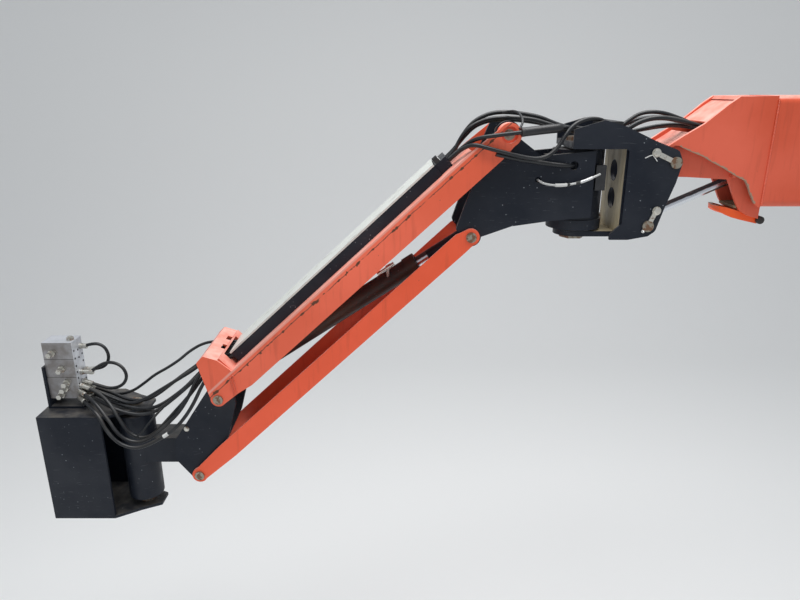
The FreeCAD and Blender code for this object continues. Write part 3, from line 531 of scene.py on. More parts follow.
def weathered_aluminium(name, colour):
    """Milled aluminium block with oxide blotches, a near face darker in patches with two scribed lines, and machining
    marks.
    """
    f = Finish(name, colour, 0.42, 0.6)
    blot = f.cloud(18.0, 6.0, 0.42, 0.7)
    body = f.blend(blot, colour, tuple(c * 0.72 for c in colour))
    near = f.between(f.facing()["Y"], 0.7, 0.9)
    # The near face, facing +Y, is darker in patches.
    near_face_darkening = f.times(near, f.cloud(30.0, 6.0, 0.3, 0.6, 0.5, 0.95))
    body = f.blend(near_face_darkening, body, (0.235, 0.215, 0.205))
    height = f.where()["Z"]
    for level in SCRIBED:
        off = f.gap(height, float(NOSE_PIN[2] + level * 0.001))
        body = f.blend(f.times(near, f.between(off, 0.0006, 0.0014, 0.8, 0)), body, (0.05, 0.045, 0.04))
    marks = f.noise(3.0, 2.0, f.stretched((10, 10, 700)))
    return f.finish(body, f.between(blot, 0, 1, 0.36, 0.62), f.bump(marks, 0.06, 0.0004))


def plastic(name, colour, roughness=0.5):
    """Moulded plastic with a fine grain and faded patches."""
    f = Finish(name, colour, roughness)
    body = f.blend(f.cloud(30.0, 4.0, 0.4, 0.7, 0, 0.6), colour, tuple(c * 1.1 + 0.02 for c in colour))
    return f.finish(body, None, f.bump(f.noise(600.0, 1.0), 0.12, 0.0004))


def follow(piece, crossing):
    """The piece rides on the body, or, where the joint of that name is crossed, keeps its place baked into its mesh.
    """
    if crossing in CROSSINGS:
        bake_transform(piece)
    else:
        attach(piece, crossing)


# Hoses: sizes and routes in millimetres, routes from the nose pin

# By joint crossed: the two bodies, and where along the boom a hose stops following the first and follows the second
CROSSINGS = {
    "nose": ("boom_end", "knuckle", -110.0, 110.0),
    "swing": ("jib_base", "knuckle", 428.0, 212.0),
    "lift": ("upper_arm", "jib_base", 655.0, 520.0),
    "level": ("upper_arm", "platform_bracket", 1430.0, 1595.0),
    "rotate": ("platform_bracket", "platform_support", 1660.0, 1880.0),
}

# Name, CAD node that it replaces, joint crossed or body it rides on, diameter, length, route
HOSES = (
    ("nose_hose_near", "nose_hose", "nose", 12, 355, [
        (160, 38, 92), (134, 38, 114), (94, 38, 141), (34, 38, 142), (-30, 38, 121), (-88, 38, 97), (-139, 38, 89),
        (-172, 38, 91)]),
    ("nose_hose_thick", None, "nose", 15, 345, [
        (160, 64, 84), (134, 63, 97), (104, 62, 115), (64, 60, 126), (16, 58, 125), (-40, 56, 112), (-96, 54, 96),
        (-140, 53, 90), (-172, 53, 90)]),
    ("nose_hose_low", None, "nose", 11, 335, [
        (160, 18, 76), (120, 18, 82), (76, 17, 92), (28, 16, 102), (-30, 16, 106), (-90, 15, 97), (-138, 15, 86),
        (-172, 15, 86)]),
    ("nose_hose_inner", None, "nose", 11, 335, [
        (160, 2, 76), (120, 2, 80), (74, 1, 88), (24, 0, 97), (-34, 0, 101), (-92, 0, 93), (-138, 0, 84),
        (-172, 0, 84)]),
    ("nose_hose_far", None, "nose", 13, 340, [
        (160, -34, 86), (128, -34, 96), (80, -35, 118), (20, -36, 125), (-44, -36, 115), (-102, -34, 98),
        (-144, -34, 89), (-172, -34, 89)]),
    ("jib_hose_near_arm", "jib_hose_arm", "lift", 12, 300, [
        (668.5, 46, 0.2), (636, 64, 33), (600, 134, 72), (512, 157, 85), (432, 139, 92.9)]),
    ("jib_hose_near_base", "jib_hose_base", "swing", 12, 255, [
        (432, 139, 92.9), (352, 121, 100.8), (288, 72, 98), (235, 46, 88), (200, 46, 88)]),
    ("jib_hose_high_arm", None, "lift", 13, 280, [
        (666.7, -20, 1.8), (644.5, -20, 22.3), (620, -20, 72), (581, -20, 119), (512, -18, 144), (449, -18, 136)]),
    ("jib_hose_high_base", None, "swing", 13, 255, [
        (449, -18, 136), (392.3, -18, 128.8), (340, -20, 107), (288, -22, 91), (240, -22, 84), (200, -22, 84)]),
    ("jib_hose_middle_arm", None, "lift", 12, 250, [
        (666.7, 4, 1.8), (645, 4, 22), (628, 5, 66), (592, 6, 104), (530, 7, 126), (470, 8, 124)]),
    ("jib_hose_middle_base", None, "swing", 12, 275, [
        (470, 8, 124), (416, 8.9, 122.2), (356, 10, 104), (300, 10, 88), (244, 8, 76), (200, 8, 76)]),
    ("jib_hose_far_arm", None, "lift", 13, 270, [
        (666.7, -46, 1.8), (644, -46, 23), (616, -46, 62), (574, -45, 104), (500, -44, 120), (440, -44, 114)]),
    ("jib_hose_far_base", None, "swing", 13, 245, [
        (440, -44, 114), (390, -44, 109), (336, -46, 96), (284, -48, 82), (240, -48, 74), (200, -48, 74)]),
    ("jib_hose_low_arm", None, "lift", 12, 235, [
        (668.5, 62, 0.2), (650, 75, 20), (626, 108, 44), (600, 140, 56), (552, 153, 43), (488, 148, 27)]),
    ("jib_hose_low_base", None, "swing", 12, 345, [
        (488, 148, 27), (430.4, 143.5, 12.6), (386, 138, 20), (356, 130, 46), (336, 122, 80), (310, 112, 110),
        (272, 102, 125), (236, 92, 124), (214, 84, 116), (200, 78, 108)]),
    ("port_hose", None, "lift", 13, 250, [
        (536, 140, 28), (482, 130, 15), (424, 118, 5), (376, 108, -3), (334, 105, -8), (308, 98, -10),
        (298, 88, -10)]),
    ("sleeve_loop", None, "jib_base", 7, 170, [
        (500, -8, 138), (478, 24, 146), (462, 62, 140), (456, 98, 122), (464, 122, 104), (474, 136, 98)]),
    ("sensor_cable", None, "jib_base", 7, 200, [
        (401, 88, -52), (400, 101, -54), (378, 106, -64), (334, 108, -67), (285, 108, -60), (250, 106, -48),
        (218, 100, -34)]),
    ("thin_hose_arm", None, "level", 10, 365, [
        (1302.2, -64, -595.4), (1332, -62, -622), (1378, -58, -633), (1436, -54, -628), (1496, -48, -633),
        (1548, -42, -662), (1592, -36, -700), (1640, -32, -728)]),
    ("thin_hose_end", None, "rotate", 10, 305, [
        (1640, -32, -728), (1671.5, -30, -744), (1711, -24, -775), (1757, -16, -806), (1812, -14, -816),
        (1868, -22, -800), (1914, -27, -780)]),
    ("upper_hose_arm", None, "level", 12, 375, [
        (1302.2, -42, -595.4), (1332.6, -41, -621.5), (1385, -36, -631), (1450, -26, -650), (1519, -10, -704),
        (1572, 2, -738), (1622, 12, -776)]),
    ("upper_hose_end", None, "rotate", 12, 310, [
        (1622, 12, -776), (1662, 20, -806.4), (1708, 22, -822), (1760, 18, -820), (1812, 6, -802), (1864, -6, -788),
        (1914, -10, -780)]),
    ("over_hose_arm", None, "level", 12, 410, [
        (1302.2, -20, -595.4), (1332.6, -19, -621.5), (1384.7, -14, -632.8), (1452.7, 2, -653.4), (1513, 18, -702),
        (1582, 30, -742), (1655, 38, -786)]),
    ("over_hose_end", None, "rotate", 12, 280, [
        (1655, 38, -786), (1700.6, 43, -813.5), (1748, 42, -823), (1800, 34, -808), (1850, 22, -789),
        (1889, 13, -780), (1916, 8, -776)]),
    ("near_hose_arm", None, "level", 12, 375, [
        (1302.2, 2, -595.4), (1332.6, 2, -621.5), (1383, 3, -635), (1440, 6, -662), (1500, 20, -716),
        (1555, 38, -772), (1606, 46, -806)]),
    ("near_hose_end", None, "rotate", 12, 330, [
        (1606, 46, -806), (1646.8, 52.4, -832.7), (1700, 55, -836), (1752, 50, -830), (1806, 34, -822),
        (1858, 12, -808), (1914, -6, -798)]),
    ("outer_hose_arm", None, "level", 12, 370, [
        (1302.2, 34, -595.4), (1332.6, 34, -622), (1383, 35, -637), (1436, 38, -664), (1492, 46, -712),
        (1546, 58, -764), (1600, 66, -806)]),
    ("outer_hose_end", None, "rotate", 12, 345, [
        (1600, 66, -806), (1637.8, 71.6, -835.4), (1692, 77, -848), (1746, 80, -838), (1798, 72, -820),
        (1850, 46, -806), (1914, 14, -799)]),
    ("inner_sag_arm", None, "level", 12, 445, [
        (1302.2, 18, -595.4), (1332.6, 18, -621.5), (1384, 19, -636), (1438, 22, -668), (1484, 30, -724),
        (1530, 48, -786), (1588, 72, -846), (1622, 84, -882)]),
    ("inner_sag_end", None, "rotate", 12, 390, [
        (1622, 84, -882), (1649.2, 93.6, -910.8), (1690, 100, -926), (1730, 102, -908), (1760, 98, -858),
        (1790, 82, -808), (1830, 54, -786), (1872, 32, -772), (1914, 20, -764)]),
    ("tray_hose_arm", "platform_hose_arm", "level", 12, 475, [
        (1302.2, 52, -595.4), (1332.6, 53, -621.5), (1384.7, 54, -633.5), (1447, 56, -657), (1496, 62, -716),
        (1534, 74, -795), (1582, 92, -858), (1640, 108, -902)]),
    ("tray_hose_end", "platform_hose_end", "rotate", 12, 370, [
        (1640, 108, -902), (1669, 116, -924), (1716, 122, -928), (1758, 124, -900), (1786, 118, -852),
        (1824, 98, -806), (1872, 62, -786), (1920, 26, -783)]),
    ("outer_sag_arm", None, "level", 12, 455, [
        (1302.2, 66, -595.4), (1332.6, 66, -622), (1383, 67, -640), (1432, 76, -672), (1472, 88, -728),
        (1502, 97, -790), (1536, 106, -842), (1576, 114, -886), (1612, 120, -907)]),
    ("outer_sag_end", None, "rotate", 12, 405, [
        (1612, 120, -907), (1644.4, 125.4, -925.9), (1698, 136, -944), (1750, 140, -926), (1790, 136, -880),
        (1816, 122, -828), (1850, 96, -812), (1886, 62, -808), (1918, 31, -803)]),
    ("drop_hose", None, "rotate", 8, 130, [
        (1620, 70, -824), (1632, 80, -834), (1647, 92, -850), (1664, 104, -868), (1684, 113, -894),
        (1702, 119, -908)]),
    ("block_loop_low", None, "platform_support", 11, 350, [
        (1882, 0, -722), (1850, 0, -696), (1808, 4, -682), (1768, 10, -694), (1750, 16, -730), (1768, 20, -764),
        (1812, 20, -778), (1864, 10, -766), (1914, 0, -756)]),
    ("block_loop_high", None, "platform_support", 11, 225, [
        (1900, -20, -634), (1866, -20, -622), (1832, -20, -634), (1820, -21, -672), (1836, -22, -708),
        (1872, -22, -722), (1914, -22, -722)]),
)


# Boom nose: outlines as (x, z), and faces of its side and fork plates as y, in millimetres from the nose pin

NOSE_SIDE_IN, NOSE_SIDE_OUT = 82.0, 92.0
FORK_IN, FORK_OUT = 50.0, 62.0
NOSE_CUT = (
    (1, 48), (-12, 46), (-46, 31), (-86, 16), (-111, 2), (-154, -19), (-190, -40), (-221, -55), (-231, -70),
    (-243, -95), (-260, -124), (-273, -135))
NOSE_SIDE = (
    (-280, 189), (-169, 187), (-138, 164), (-75, 110), (-18, 75), (30, 42), (24, 36), *NOSE_CUT, (-280, -135))
NOSE_FORK = (
    (-280, 70), (0, 52), (26, 45), (45, 26), (52, 0), (45, -26), (30, -40), (8, -46), (-60, -48), (-184, -55),
    (-219, -127), (-234, -150), (-262, -166), (-296, -176), (-296, -135), (-280, -130))
# Plates between the sides. The cover is in two parts, with a slot between them where the hoses go in
NOSE_INNER = (
    ("Nose roof", [(-280, 187), (-172, 187), (-164, 177), (-280, 177)]),
    ("Nose web", [(-197, 70), (-187, 70), (-187, -48), (-197, -48)]),
    ("Cover", [(-172, 178), (-138, 154), (-86, 115), (-86, 111), (-138, 149), (-172, 173)]),
    ("Cover", [(-52, 83), (-18, 60), (24, 34), (24, 30), (-18, 56), (-52, 79)]),
)
# Chute rim: x, y, height of its top edge and of its low edge
CHUTE_RIM = tuple(
    (x, side * y, high, low)
    for side, half in ((-1, 1), (1, -1))
    for x, y, high, low in ((
        (-297, 50, -165, -193), (-270, 50, -160, -187), (-240, 50, -154, -180), (-215, 50, -147, -173),
        (-197, 47, -142, -166), (-182, 38, -140, -158), (-177, 22, -141, -153), (-176, 8, -142, -152))[::half]))


# Small pieces, in millimetres from the nose pin. The knuckle's near face is at this y
KNUCKLE_FACE = 108.0
TRAY_TAG = ((700, 11), (683, -7), (691, -14), (708, 4))
TRAY_CLIP = ((706, 15), (680, -9), (692, -20), (718, 4))
SPLIT_PIN = ([(74, 114, 23), (84, 115, 20), (96, 115, 14)], [(72, 114, 21), (66, 115, 14), (59, 115, 5)])
# Name, body, place, way out, radius of the head
BOLTS = (
    ("ear_bolt", "knuckle", (298, 97.5, 49), (0, 1, 0), 6.5),
    ("bracket_bolt", "platform_bracket", (1539, 95, -891), (0, 1, 0), 7.5),
)
# Name, body, from, to, radius
WELDS = (
    ("boom_weld", "boom_end", (-281, 93.5, -128), (-281, 93.5, 176), 3.2),
    ("cheek_weld_upper", "upper_arm", (1354, 136, -672), (1345, 136, -736), 3.0),
    ("cheek_weld_lower", "upper_arm", (1363, 136, -680), (1354, 136, -744), 3.0),
)
# Name, body, hoses that the piece is threaded on, from and to along the boom, radius, finish
CUFFS = (
    ("bundle_sleeve", "swing", ("jib_hose_near_arm", "jib_hose_near_base"), 462, 348, 13.0, "rubber"),
    ("bundle_sleeve_end", "jib_base", ("jib_hose_near_arm", "jib_hose_near_base"), 468, 458, 13.4, "dark"),
    ("cable_sleeve_white", "jib_base", ("sensor_cable",), 352, 316, 5.2, "white"),
    ("cable_ring_dark", "jib_base", ("sensor_cable",), 315, 308, 5.8, "dark"),
    ("cable_clip", "jib_base", ("sensor_cable",), 290, 278, 5.4, "dark"),
    ("cable_sleeve_silver", "jib_base", ("sensor_cable",), 277, 240, 5.0, "silver"),
    ("hose_band", "platform_bracket", ("outer_sag_arm",), 1612, 1594, 6.5, "white"),
)
# Valve block: height of the two scribed lines, (y, z) of the socket plugs, and x of its face towards the boom
SCRIBED = (-661, -727)
BLOCK_FACE = 1918
BLOCK_PLUGS = (
    (24, -634), (-2, -640), (24, -662), (24, -690), (24, -712), (24, -734), (24, -756), (-26, -664), (-26, -690),
    (-26, -756), (-2, -668))


# Sizes and colours that a user may change

class JibStageSettings(bpy.types.PropertyGroup):
    """Camera and floor"""

    camera_height: bpy.props.FloatProperty(
        name="Camera height", description="Height above the row frame's origin", default=0.3358, unit="LENGTH")
    camera_along: bpy.props.FloatProperty(
        name="Camera along the boom", description="Distance out along the boom", default=1.5135, unit="LENGTH")
    camera_away: bpy.props.FloatProperty(
        name="Camera distance", description="Distance from the mid-plane", default=2.025, unit="LENGTH")
    camera_pitch: bpy.props.FloatProperty(
        name="Camera pitch", description="Angle that the camera looks down", default=math.radians(18.2),
        subtype="ANGLE")
    lens: bpy.props.FloatProperty(name="Lens", description="Focal length in millimetres", default=28.8)
    floor_level: bpy.props.FloatProperty(
        name="Floor level", description="Height of the floor, clear of the jib's lowest pose", default=-2.3,
        unit="LENGTH")
    floor_colour: bpy.props.FloatVectorProperty(
        name="Floor colour", description="Plain pale floor", default=(0.86, 0.86, 0.85), subtype="COLOR")


class JibFinishSettings(bpy.types.PropertyGroup):
    """Main colours"""

    orange: bpy.props.FloatVectorProperty(
        name="Arm paint", description="Orange of the arms and the boom", default=(0.65, 0.088, 0.034),
        subtype="COLOR")
    black: bpy.props.FloatVectorProperty(
        name="Casting paint", description="Black of the knuckle, base and bracket", default=(0.0065, 0.0098, 0.018),
        subtype="COLOR")
    rubber: bpy.props.FloatVectorProperty(
        name="Hose cover", description="Black of the hoses", default=(0.006, 0.007, 0.009), subtype="COLOR")


# What each CAD node is finished in

def node_finishes(settings):
    """Material for each CAD node."""
    orange, black = tuple(settings.orange), tuple(settings.black)
    bright = (orange[0] * 1.22, orange[1] * 1.28, orange[2] * 1.3)
    arm = orange_paint("Upper arm paint", bright, edge_top=ARM_TOP, edge_side=ARM_SIDE)
    boom = orange_paint("Boom paint", orange)
    weldment = black_paint("Weldment paint", black)
    muddy = black_paint("Knuckle paint", black, muddy=True)
    barrel = black_paint("Barrel paint", black, brown=True)
    low_arm = orange_paint("Lower arm paint", (min(1.0, orange[0] * 1.28), orange[1] * 1.0, orange[2] * 0.6))
    pin = bare_metal("Pin steel", (0.36, 0.33, 0.27), 0.45, rust=0.5)
    chrome = chrome_with_painted_reflection("Hard chrome", (0.70, 0.72, 0.76))
    zinc = bare_metal("Zinc plate", (0.62, 0.61, 0.56), 0.34, rust=0.12)
    lid = pale_sheet("Tray lid sheet", (0.62, 0.64, 0.60))
    block = weathered_aluminium("Valve block", (0.62, 0.64, 0.68))
    moulded = plastic("Black plastic", (0.02, 0.02, 0.022))
    by_material = (
        (boom, "boom_tube hose_hood"), (arm, "upper_arm"), (low_arm, "lower_arm"), (muddy, "knuckle"),
        (barrel, "lift_barrel"), (lid, "tray_lid"), (block, "valve_block"), (zinc, "valve_cartridges"),
        (chrome, "level_rod lift_rod"), (moulded, "swing_valve nose_saddle knuckle_saddle"),
        (pin, "level_foot_pin level_pin eye_pin_stubs swing_shaft upper_arm_pin lower_arm_pins bracket_pin_upper"
              " bracket_pin_lower rotator_shaft"),
        (weldment, "level_barrel jib_base hose_tray tray_clamp lift_rod_eye platform_bracket platform_support"
                   " valve_mount"),
    )
    return {node: material for material, nodes in by_material for node in nodes.split()}


class JIB_OT_stage(bpy.types.Operator):
    """Sets the camera at the photograph's viewing angle, a plain pale floor and soft studio light"""

    bl_idname = "jib.stage"
    bl_label = "Camera, floor and light"

    def execute(self, context):
        settings = context.scene.jib_stage
        scene = context.scene
        scene.view_settings.view_transform = "Standard"
        camera = bpy.data.objects.new("Camera", bpy.data.cameras.new("Camera"))
        camera.data.lens = settings.lens
        camera.location = (settings.camera_along, settings.camera_away, settings.camera_height)
        camera.rotation_euler = (math.pi / 2 - settings.camera_pitch, 0, math.pi)
        scene.collection.objects.link(camera)
        scene.camera = camera
        self.floor(settings)
        self.lamp("Overhead", (1.2, 0.4, 3.2), (0.1, 0.0, 0.0), 3.6, 200)
        self.lamp("Front", (2.6, 4.2, 1.6), (-1.15, 0.0, -2.55), 2.6, 125)
        world = bpy.data.worlds.new("Studio")
        world.use_nodes = True
        sky = world.node_tree.nodes["Background"]
        sky.inputs["Color"].default_value = (0.86, 0.9, 0.95, 1)
        sky.inputs["Strength"].default_value = 0.55
        scene.world = world
        return {"FINISHED"}

    def floor(self, settings):
        """Flat floor that sweeps up into a backdrop: height is a quarter circle past the bend, then straight."""
        front, bend, radius, high = 13.0, -4.0, 2.0, 9.0
        across = np.linspace(-15.0, 18.0, 8)
        flat = np.array([[front, 0.0], [bend, 0.0]])
        turn = np.linspace(0, np.pi / 2, 16)[1:]
        curved = np.stack([bend - radius * np.sin(turn), radius - radius * np.cos(turn)], axis=1)
        top = np.array([[bend - radius, high]])
        profile = np.vstack([flat, curved, top])
        points = np.empty((len(across), len(profile), 3))
        points[..., 0] = across[:, None]
        points[..., 1] = profile[None, :, 0]
        points[..., 2] = profile[None, :, 1] + settings.floor_level
        mesh = grid_mesh("Studio floor", points)
        smooth(mesh)
        paint = Finish("Floor", tuple(settings.floor_colour), 0.8)
        placed("Studio floor", mesh, paint.finish())

    def lamp(self, name, place, turn, size, energy):
        """Square soft lamp at a place, turned from straight down."""
        lamp = bpy.data.lights.new(name, "AREA")
        lamp.size = size
        lamp.energy = energy
        holder = bpy.data.objects.new(name, lamp)
        holder.location = place
        holder.rotation_euler = turn
        bpy.context.scene.collection.objects.link(holder)


class JIB_OT_finishes(bpy.types.Operator):
    """Gives every CAD node its paint, metal or plastic"""

    bl_idname = "jib.finishes"
    bl_label = "Paint and metal"

    def execute(self, context):
        for node, material in node_finishes(context.scene.jib_finish).items():
            piece = frame["nodes"][node]
            for slot in piece.material_slots:
                slot.material = material
        return {"FINISHED"}


class JIB_OT_hoses(bpy.types.Operator):
    """Makes every free hose and cable as a smooth tube; where one crosses a joint, its place is baked into its mesh.
    """

    bl_idname = "jib.hoses"
    bl_label = "Hoses"

    def execute(self, context):
        cover = hose_rubber("Hose cover", tuple(context.scene.jib_finish.rubber))
        braid = bare_metal("Cable braid", (0.55, 0.55, 0.54), 0.5, metallic=0.7)
        for name, node, crossing, diameter, length, route in HOSES:
            line = route_line(from_pin(route))
            hose = placed(name, tube_mesh(name, line, diameter / 2000), braid if name == "sensor_cable" else cover)
            follow(hose, crossing)
            if node:
                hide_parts(node)
        return {"FINISHED"}


class JIB_OT_nose(bpy.types.Operator):
    """Makes the boom's nose: side plates, fork plates, sloping cover and the chute under its mouth"""

    bl_idname = "jib.nose"
    bl_label = "Boom nose"

    def execute(self, context):
        orange = tuple(context.scene.jib_finish.orange)
        paint = orange_paint("Nose paint", orange)
        plates = mirrored("Nose side", NOSE_SIDE, NOSE_SIDE_IN, NOSE_SIDE_OUT)
        plates += mirrored("Nose fork", NOSE_FORK, FORK_IN, FORK_OUT)
        for name, outline in NOSE_INNER:
            plates.append(plate(name, outline, -NOSE_SIDE_IN, NOSE_SIDE_IN))
        wide, bore = 2 * NOSE_SIDE_IN, 17.3
        hub = turned("Nose hub", from_pin((0, -NOSE_SIDE_IN, 0)), (0, 1, 0), [
            (0, bore), (0, 26), (wide, 26), (wide, bore)])
        nose = joined("nose_weldment", plates + [hub], paint)
        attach(nose, "boom_end")
        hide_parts("boom_nose")
        self.worn_edge()
        self.chute(unfaded(orange))
        return {"FINISHED"}

    def worn_edge(self):
        """Bare edge of the near side plate: a strip round its cut, as wide as the sum of three sines of the distance.

        Its section has six corners, (reach, y) from the cut: over the plate's near face, down its edge, and under it.
        """
        line = np.asarray(NOSE_CUT, float)
        run = distances(line)
        place = np.linspace(run[1], run[-2], 160)
        x, z = np.interp(place, run, line[:, 0]), np.interp(place, run, line[:, 1])
        way = np.gradient(np.stack([x, z], axis=1), axis=0)
        way /= np.linalg.norm(way, axis=1, keepdims=True)
        up = np.stack([way[:, 1], -way[:, 0]], axis=1)
        ragged = 3.2 + 1.1 * np.sin(place / 5.1) + 0.8 * np.sin(place / 2.3 + 1) + 0.7 * np.sin(place / 13 + 2)
        near, under, off = NOSE_SIDE_OUT + 0.35, NOSE_SIDE_IN + 1, 0.35
        section = ((ragged, near), (-off, near), (-off, under), (0.5, under), (0.5, near - 1), (ragged, near - 1))
        rows = []
        for reach, y in section:
            rows.append(np.stack([x + up[:, 0] * reach, np.full(len(x), y), z + up[:, 1] * reach], axis=1))
        strip = lofted("nose_worn_edge", np.stack(rows, axis=1))
        piece = placed("nose_worn_edge", strip, plastic("Bare edge", (0.36, 0.22, 0.15), 0.75))
        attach(piece, "boom_end")

    def chute(self, paint):
        """Rounded chute for the hoses, with its sill and its roller.

        Each ring of the rim holds its outer face, floor and rear lip at one place of CHUTE_RIM, and the floor is
        lofted across the chute between the rim's two halves.
        """
        rings = []
        for x, y, high, low in CHUTE_RIM:
            inward = -np.sign(y) * 7.0 if abs(y) > 40 else -y * 0.14
            back = min(x - 9.0, -188.0) if abs(y) < 40 else x - 4.0
            rings.append([
                (x, y, high), (x - 2, y, low), (x - 9, y + inward, low + 1), (x - 9, y + inward, high - 9),
                (back - 3, y + inward, high - 10), (back - 3, y + inward, high - 4), (x - 8, y + inward, high - 2)])
        rim = lofted("Chute rim", rings)
        floor = []
        for x, y, high, low in CHUTE_RIM[:len(CHUTE_RIM) // 2]:
            floor.append([(x - 6, y + 5, high - 5), (x - 6, -y - 5, high - 5), (x - 6, -y - 5, high - 10),
                          (x - 6, y + 5, high - 10)])
        bottom = lofted("Chute floor", floor)
        sill = plate("Nose sill", [(-296, -133), (-222, -137), (-222, -144), (-296, -148)], -FORK_IN, FORK_IN)
        sill = placed("nose_sill", sill, plastic("Dusty floor", (0.30, 0.235, 0.145), 0.8))
        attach(sill, "boom_end")
        piece = joined("hose_chute", [rim, bottom], paint)
        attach(piece, "boom_end")
        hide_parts("nose_guard")
        roller = turned("chute_roller", from_pin((-306, -62, -181)), (0, 1, 0), [
            (0, 4), (0, 9), (2, 12), (122, 12), (124, 9), (124, 4)])
        roller = placed("chute_roller", roller, plastic("Roller rubber", (0.022, 0.018, 0.016), 0.6))
        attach(roller, "boom_end")


class JIB_OT_trim(bpy.types.Operator):
    """Makes the pin keepers, bolts, nipple, split pin, weld beads and the cylinder's port fitting"""

    bl_idname = "jib.trim"
    bl_label = "Keepers, bolts and welds"

    def execute(self, context):
        zinc = bare_metal("Keeper zinc", (0.66, 0.64, 0.58), 0.34, rust=0.15)
        keepers = [*self.keeper((0, 0), (63, 29)), *self.keeper((61.6, -189.4), (42, -142))]
        piece = joined("pin_keepers", keepers, zinc)
        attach(piece, "knuckle")
        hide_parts("level_keepers")
        legs = [tube_mesh("Leg", from_pin(line), 0.0016, 8) for line in SPLIT_PIN]
        nipple = turned("Nipple", from_pin((75, KNUCKLE_FACE, -205)), (0, 1, 0), [
            (-1, 5), (4, 5), (4, 2.6), (8, 2.6), (9, 3.6), (11, 2)])
        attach(joined("split_pin", legs + [nipple], bare_metal("Bright zinc", (0.8, 0.8, 0.78), 0.3)), "knuckle")
        for name, body, place, way, radius in BOLTS:
            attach(joined(name, bolt(from_pin(place), way, radius), zinc), body)
        port = [
            turned("Port", from_pin((886, 34, -362)), (-50, 0, 35), [
                (0, 3), (0, 6), (14, 6), (14, 4.5), (36, 4.5), (36, 7.5), (52, 7.5), (52, 5.5), (64, 5.5), (64, 3)]),
            turned("Port foot", from_pin((852, 20, -374)), (0.05, 0.42, 0.9), [(-4, 6), (24, 6), (30, 6), (32, 4)])]
        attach(joined("barrel_port", port, zinc), "lift_barrel")
        tag = plate("Tray tag", TRAY_TAG, 38.0, 62.0, 1.5)
        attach(placed("tray_tag", tag, plastic("Tray tag plastic", (0.66, 0.67, 0.66), 0.5)), "upper_arm")
        clip_plastic = plastic("Clip plastic", (0.015, 0.015, 0.016))
        for name, y in (("tray_clip_a", 34.0), ("tray_clip_b", 64.0)):
            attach(placed(name, plate("Tray clip", TRAY_CLIP, y, y + 4.0, 0.8), clip_plastic), "upper_arm")
        paint = orange_paint("Weld paint", tuple(context.scene.jib_finish.orange))
        for name, body, start, end, radius in WELDS:
            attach(placed(name, bead(name, from_pin(start), from_pin(end), radius), paint), body)
        return {"FINISHED"}

    def keeper(self, pin, screw):
        """Bar from a pin's end to its screw, rounded there in a half circle, with the screw's head on it."""
        pin, screw = np.array(pin, float), np.array(screw, float)
        way = (screw - pin) / np.linalg.norm(screw - pin)
        side = np.array([-way[1], way[0]])
        turn = np.linspace(-np.pi / 2, np.pi / 2, 9)
        half, start = 7, pin + 11 * way
        cap = screw + half * (np.cos(turn)[:, None] * way + np.sin(turn)[:, None] * side)
        outline = np.vstack([start - half * side, cap, start + half * side])
        under, over = KNUCKLE_FACE + 0.2, KNUCKLE_FACE + 5.5
        bar = plate("Keeper bar", outline, under, over, 0.8)
        place = from_pin((screw[0], over, screw[1]))
        return [bar, *bolt(place, (0, 1, 0), 11)]


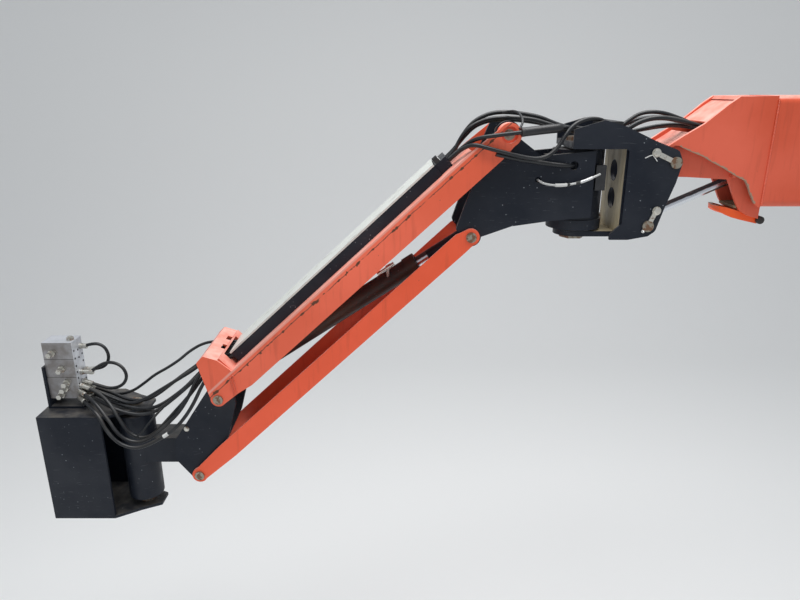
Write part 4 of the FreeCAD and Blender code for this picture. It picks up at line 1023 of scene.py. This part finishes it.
class JIB_OT_fittings(bpy.types.Operator):
    """Makes the hoses' ferrules and nuts, the elbows, the cable's cuffs, the thick sleeve and the blank band"""

    bl_idname = "jib.fittings"
    bl_label = "Hose fittings"

    def execute(self, context):
        lines = {row[0]: route_line(from_pin(row[5])) for row in HOSES}
        steel = bare_metal("Ferrule steel", (0.5, 0.49, 0.45), 0.38, rust=0.15, metallic=0.85)
        ends = []
        for name, _, _, diameter, _, route in HOSES:
            if route[-1][0] > BLOCK_FACE - 13:
                ends += self.ferrule(lines[name][::-1], diameter / 2)
        for x, y, z in (row[5][0] for row in HOSES if row[0].startswith("block_loop")):
            long = BLOCK_FACE - x + 8
            ends.append(turned("Elbow", from_pin((BLOCK_FACE, y, z)), (-1, 0, 0), [
                (0, 4), (0, 10), (9, 10), (9, 7.5), (long - 14, 7.5), (long - 12, 9), (long, 9), (long, 5)]))
        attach(joined("block_ferrules", ends, steel), "platform_support")
        self.cuffs(lines)
        self.block_ports(steel)
        return {"FINISHED"}

    def ferrule(self, line, radius):
        """Nut and crimped ferrule on a hose's end, bent with it; the crimp has nine rings, high and low in turn."""
        nut = sleeve("Nut", line, 0.0, [(0, 4), (0.1, radius + 4.4), (11, radius + 4.4), (11.1, radius + 2)], 6)
        rings = [(11.5 + 3 * step, radius + (2.8, 2.0)[step % 2]) for step in range(9)]
        return [nut, sleeve("Crimp", line, 0.0, [(11, radius + 1), *rings, (38, radius)], 18)]

    def cuffs(self, lines):
        """Short pieces with rounded rims, threaded on a line between two places along the boom."""
        finishes = {
            "rubber": hose_rubber("Sleeve rubber", (0.014, 0.014, 0.016)),
            "dark": plastic("Cuff plastic", (0.02, 0.02, 0.02)),
            "white": plastic("White tape", (0.62, 0.62, 0.60), 0.6),
            "silver": bare_metal("Silver cuff", (0.72, 0.72, 0.72), 0.35),
        }
        for name, body, hoses, start, end, radius, finish in CUFFS:
            line = np.vstack([lines[hose] for hose in hoses])
            along = (line[:, 0] - NOSE_PIN[0]) * 1000
            run = distances(line) * 1000
            order = np.argsort(along)
            first, last = sorted(np.interp((start, end), along[order], run[order]))
            long = last - first
            edge = min(1.5, long / 6)
            rim = [radius * 0.6, radius - edge * 0.7]
            steps = np.concatenate([[0, 0.1], np.linspace(edge, long - edge, 12), [long - 0.1, long]])
            radii = np.concatenate([rim, np.full(12, radius), rim[::-1]])
            mesh = sleeve(name, line, first, np.stack([steps, radii], axis=1))
            follow(placed(name, mesh, finishes[finish]), body)

    def block_ports(self, steel):
        """Socket plugs on the face of the valve block towards the boom, and a fitting on top."""
        plugs = []
        for y, z in BLOCK_PLUGS:
            plugs.append(turned("Plug", from_pin((BLOCK_FACE - 1, y, z)), (-1, 0, 0), [
                (0, 3.6), (1.6, 3.6), (2.0, 3.0), (2.0, 1.8), (0.8, 1.6), (0.8, 0.3)], 14))
        top = turned("Top fitting", from_pin((1932, 4, -602)), (0, 0, 1), [
            (0, 11), (0, 13), (9, 13), (9, 9), (13, 9), (13, 6)], 6)
        dark = plastic("Port shade", (0.012, 0.012, 0.013), 0.7)
        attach(joined("block_plugs", plugs, dark), "platform_support")
        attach(placed("block_top_fitting", top, steel), "platform_support")


class JIB_PT_panel(bpy.types.Panel):
    """Lists the steps that dress the jib"""

    bl_idname = "JIB_PT_panel"
    bl_label = "Boom lift jib"
    bl_space_type = "VIEW_3D"
    bl_region_type = "UI"
    bl_category = "Jib"

    def draw(self, context):
        for step in STEPS:
            self.layout.operator(step.bl_idname)


STEPS = (JIB_OT_stage, JIB_OT_hoses, JIB_OT_finishes, JIB_OT_nose, JIB_OT_trim, JIB_OT_fittings)
CLASSES = (JibStageSettings, JibFinishSettings, *STEPS, JIB_PT_panel)


def register():
    for made in CLASSES:
        bpy.utils.register_class(made)
    bpy.types.Scene.jib_stage = bpy.props.PointerProperty(type=JibStageSettings)
    bpy.types.Scene.jib_finish = bpy.props.PointerProperty(type=JibFinishSettings)


def unregister():
    del bpy.types.Scene.jib_finish
    del bpy.types.Scene.jib_stage
    for made in reversed(CLASSES):
        bpy.utils.unregister_class(made)


def main():
    """Makes everything in order."""
    register()
    bpy.ops.jib.stage()
    bpy.ops.jib.hoses()
    bpy.ops.jib.finishes()
    bpy.ops.jib.nose()
    bpy.ops.jib.trim()
    bpy.ops.jib.fittings()


if __name__ == "__main__":
    main()
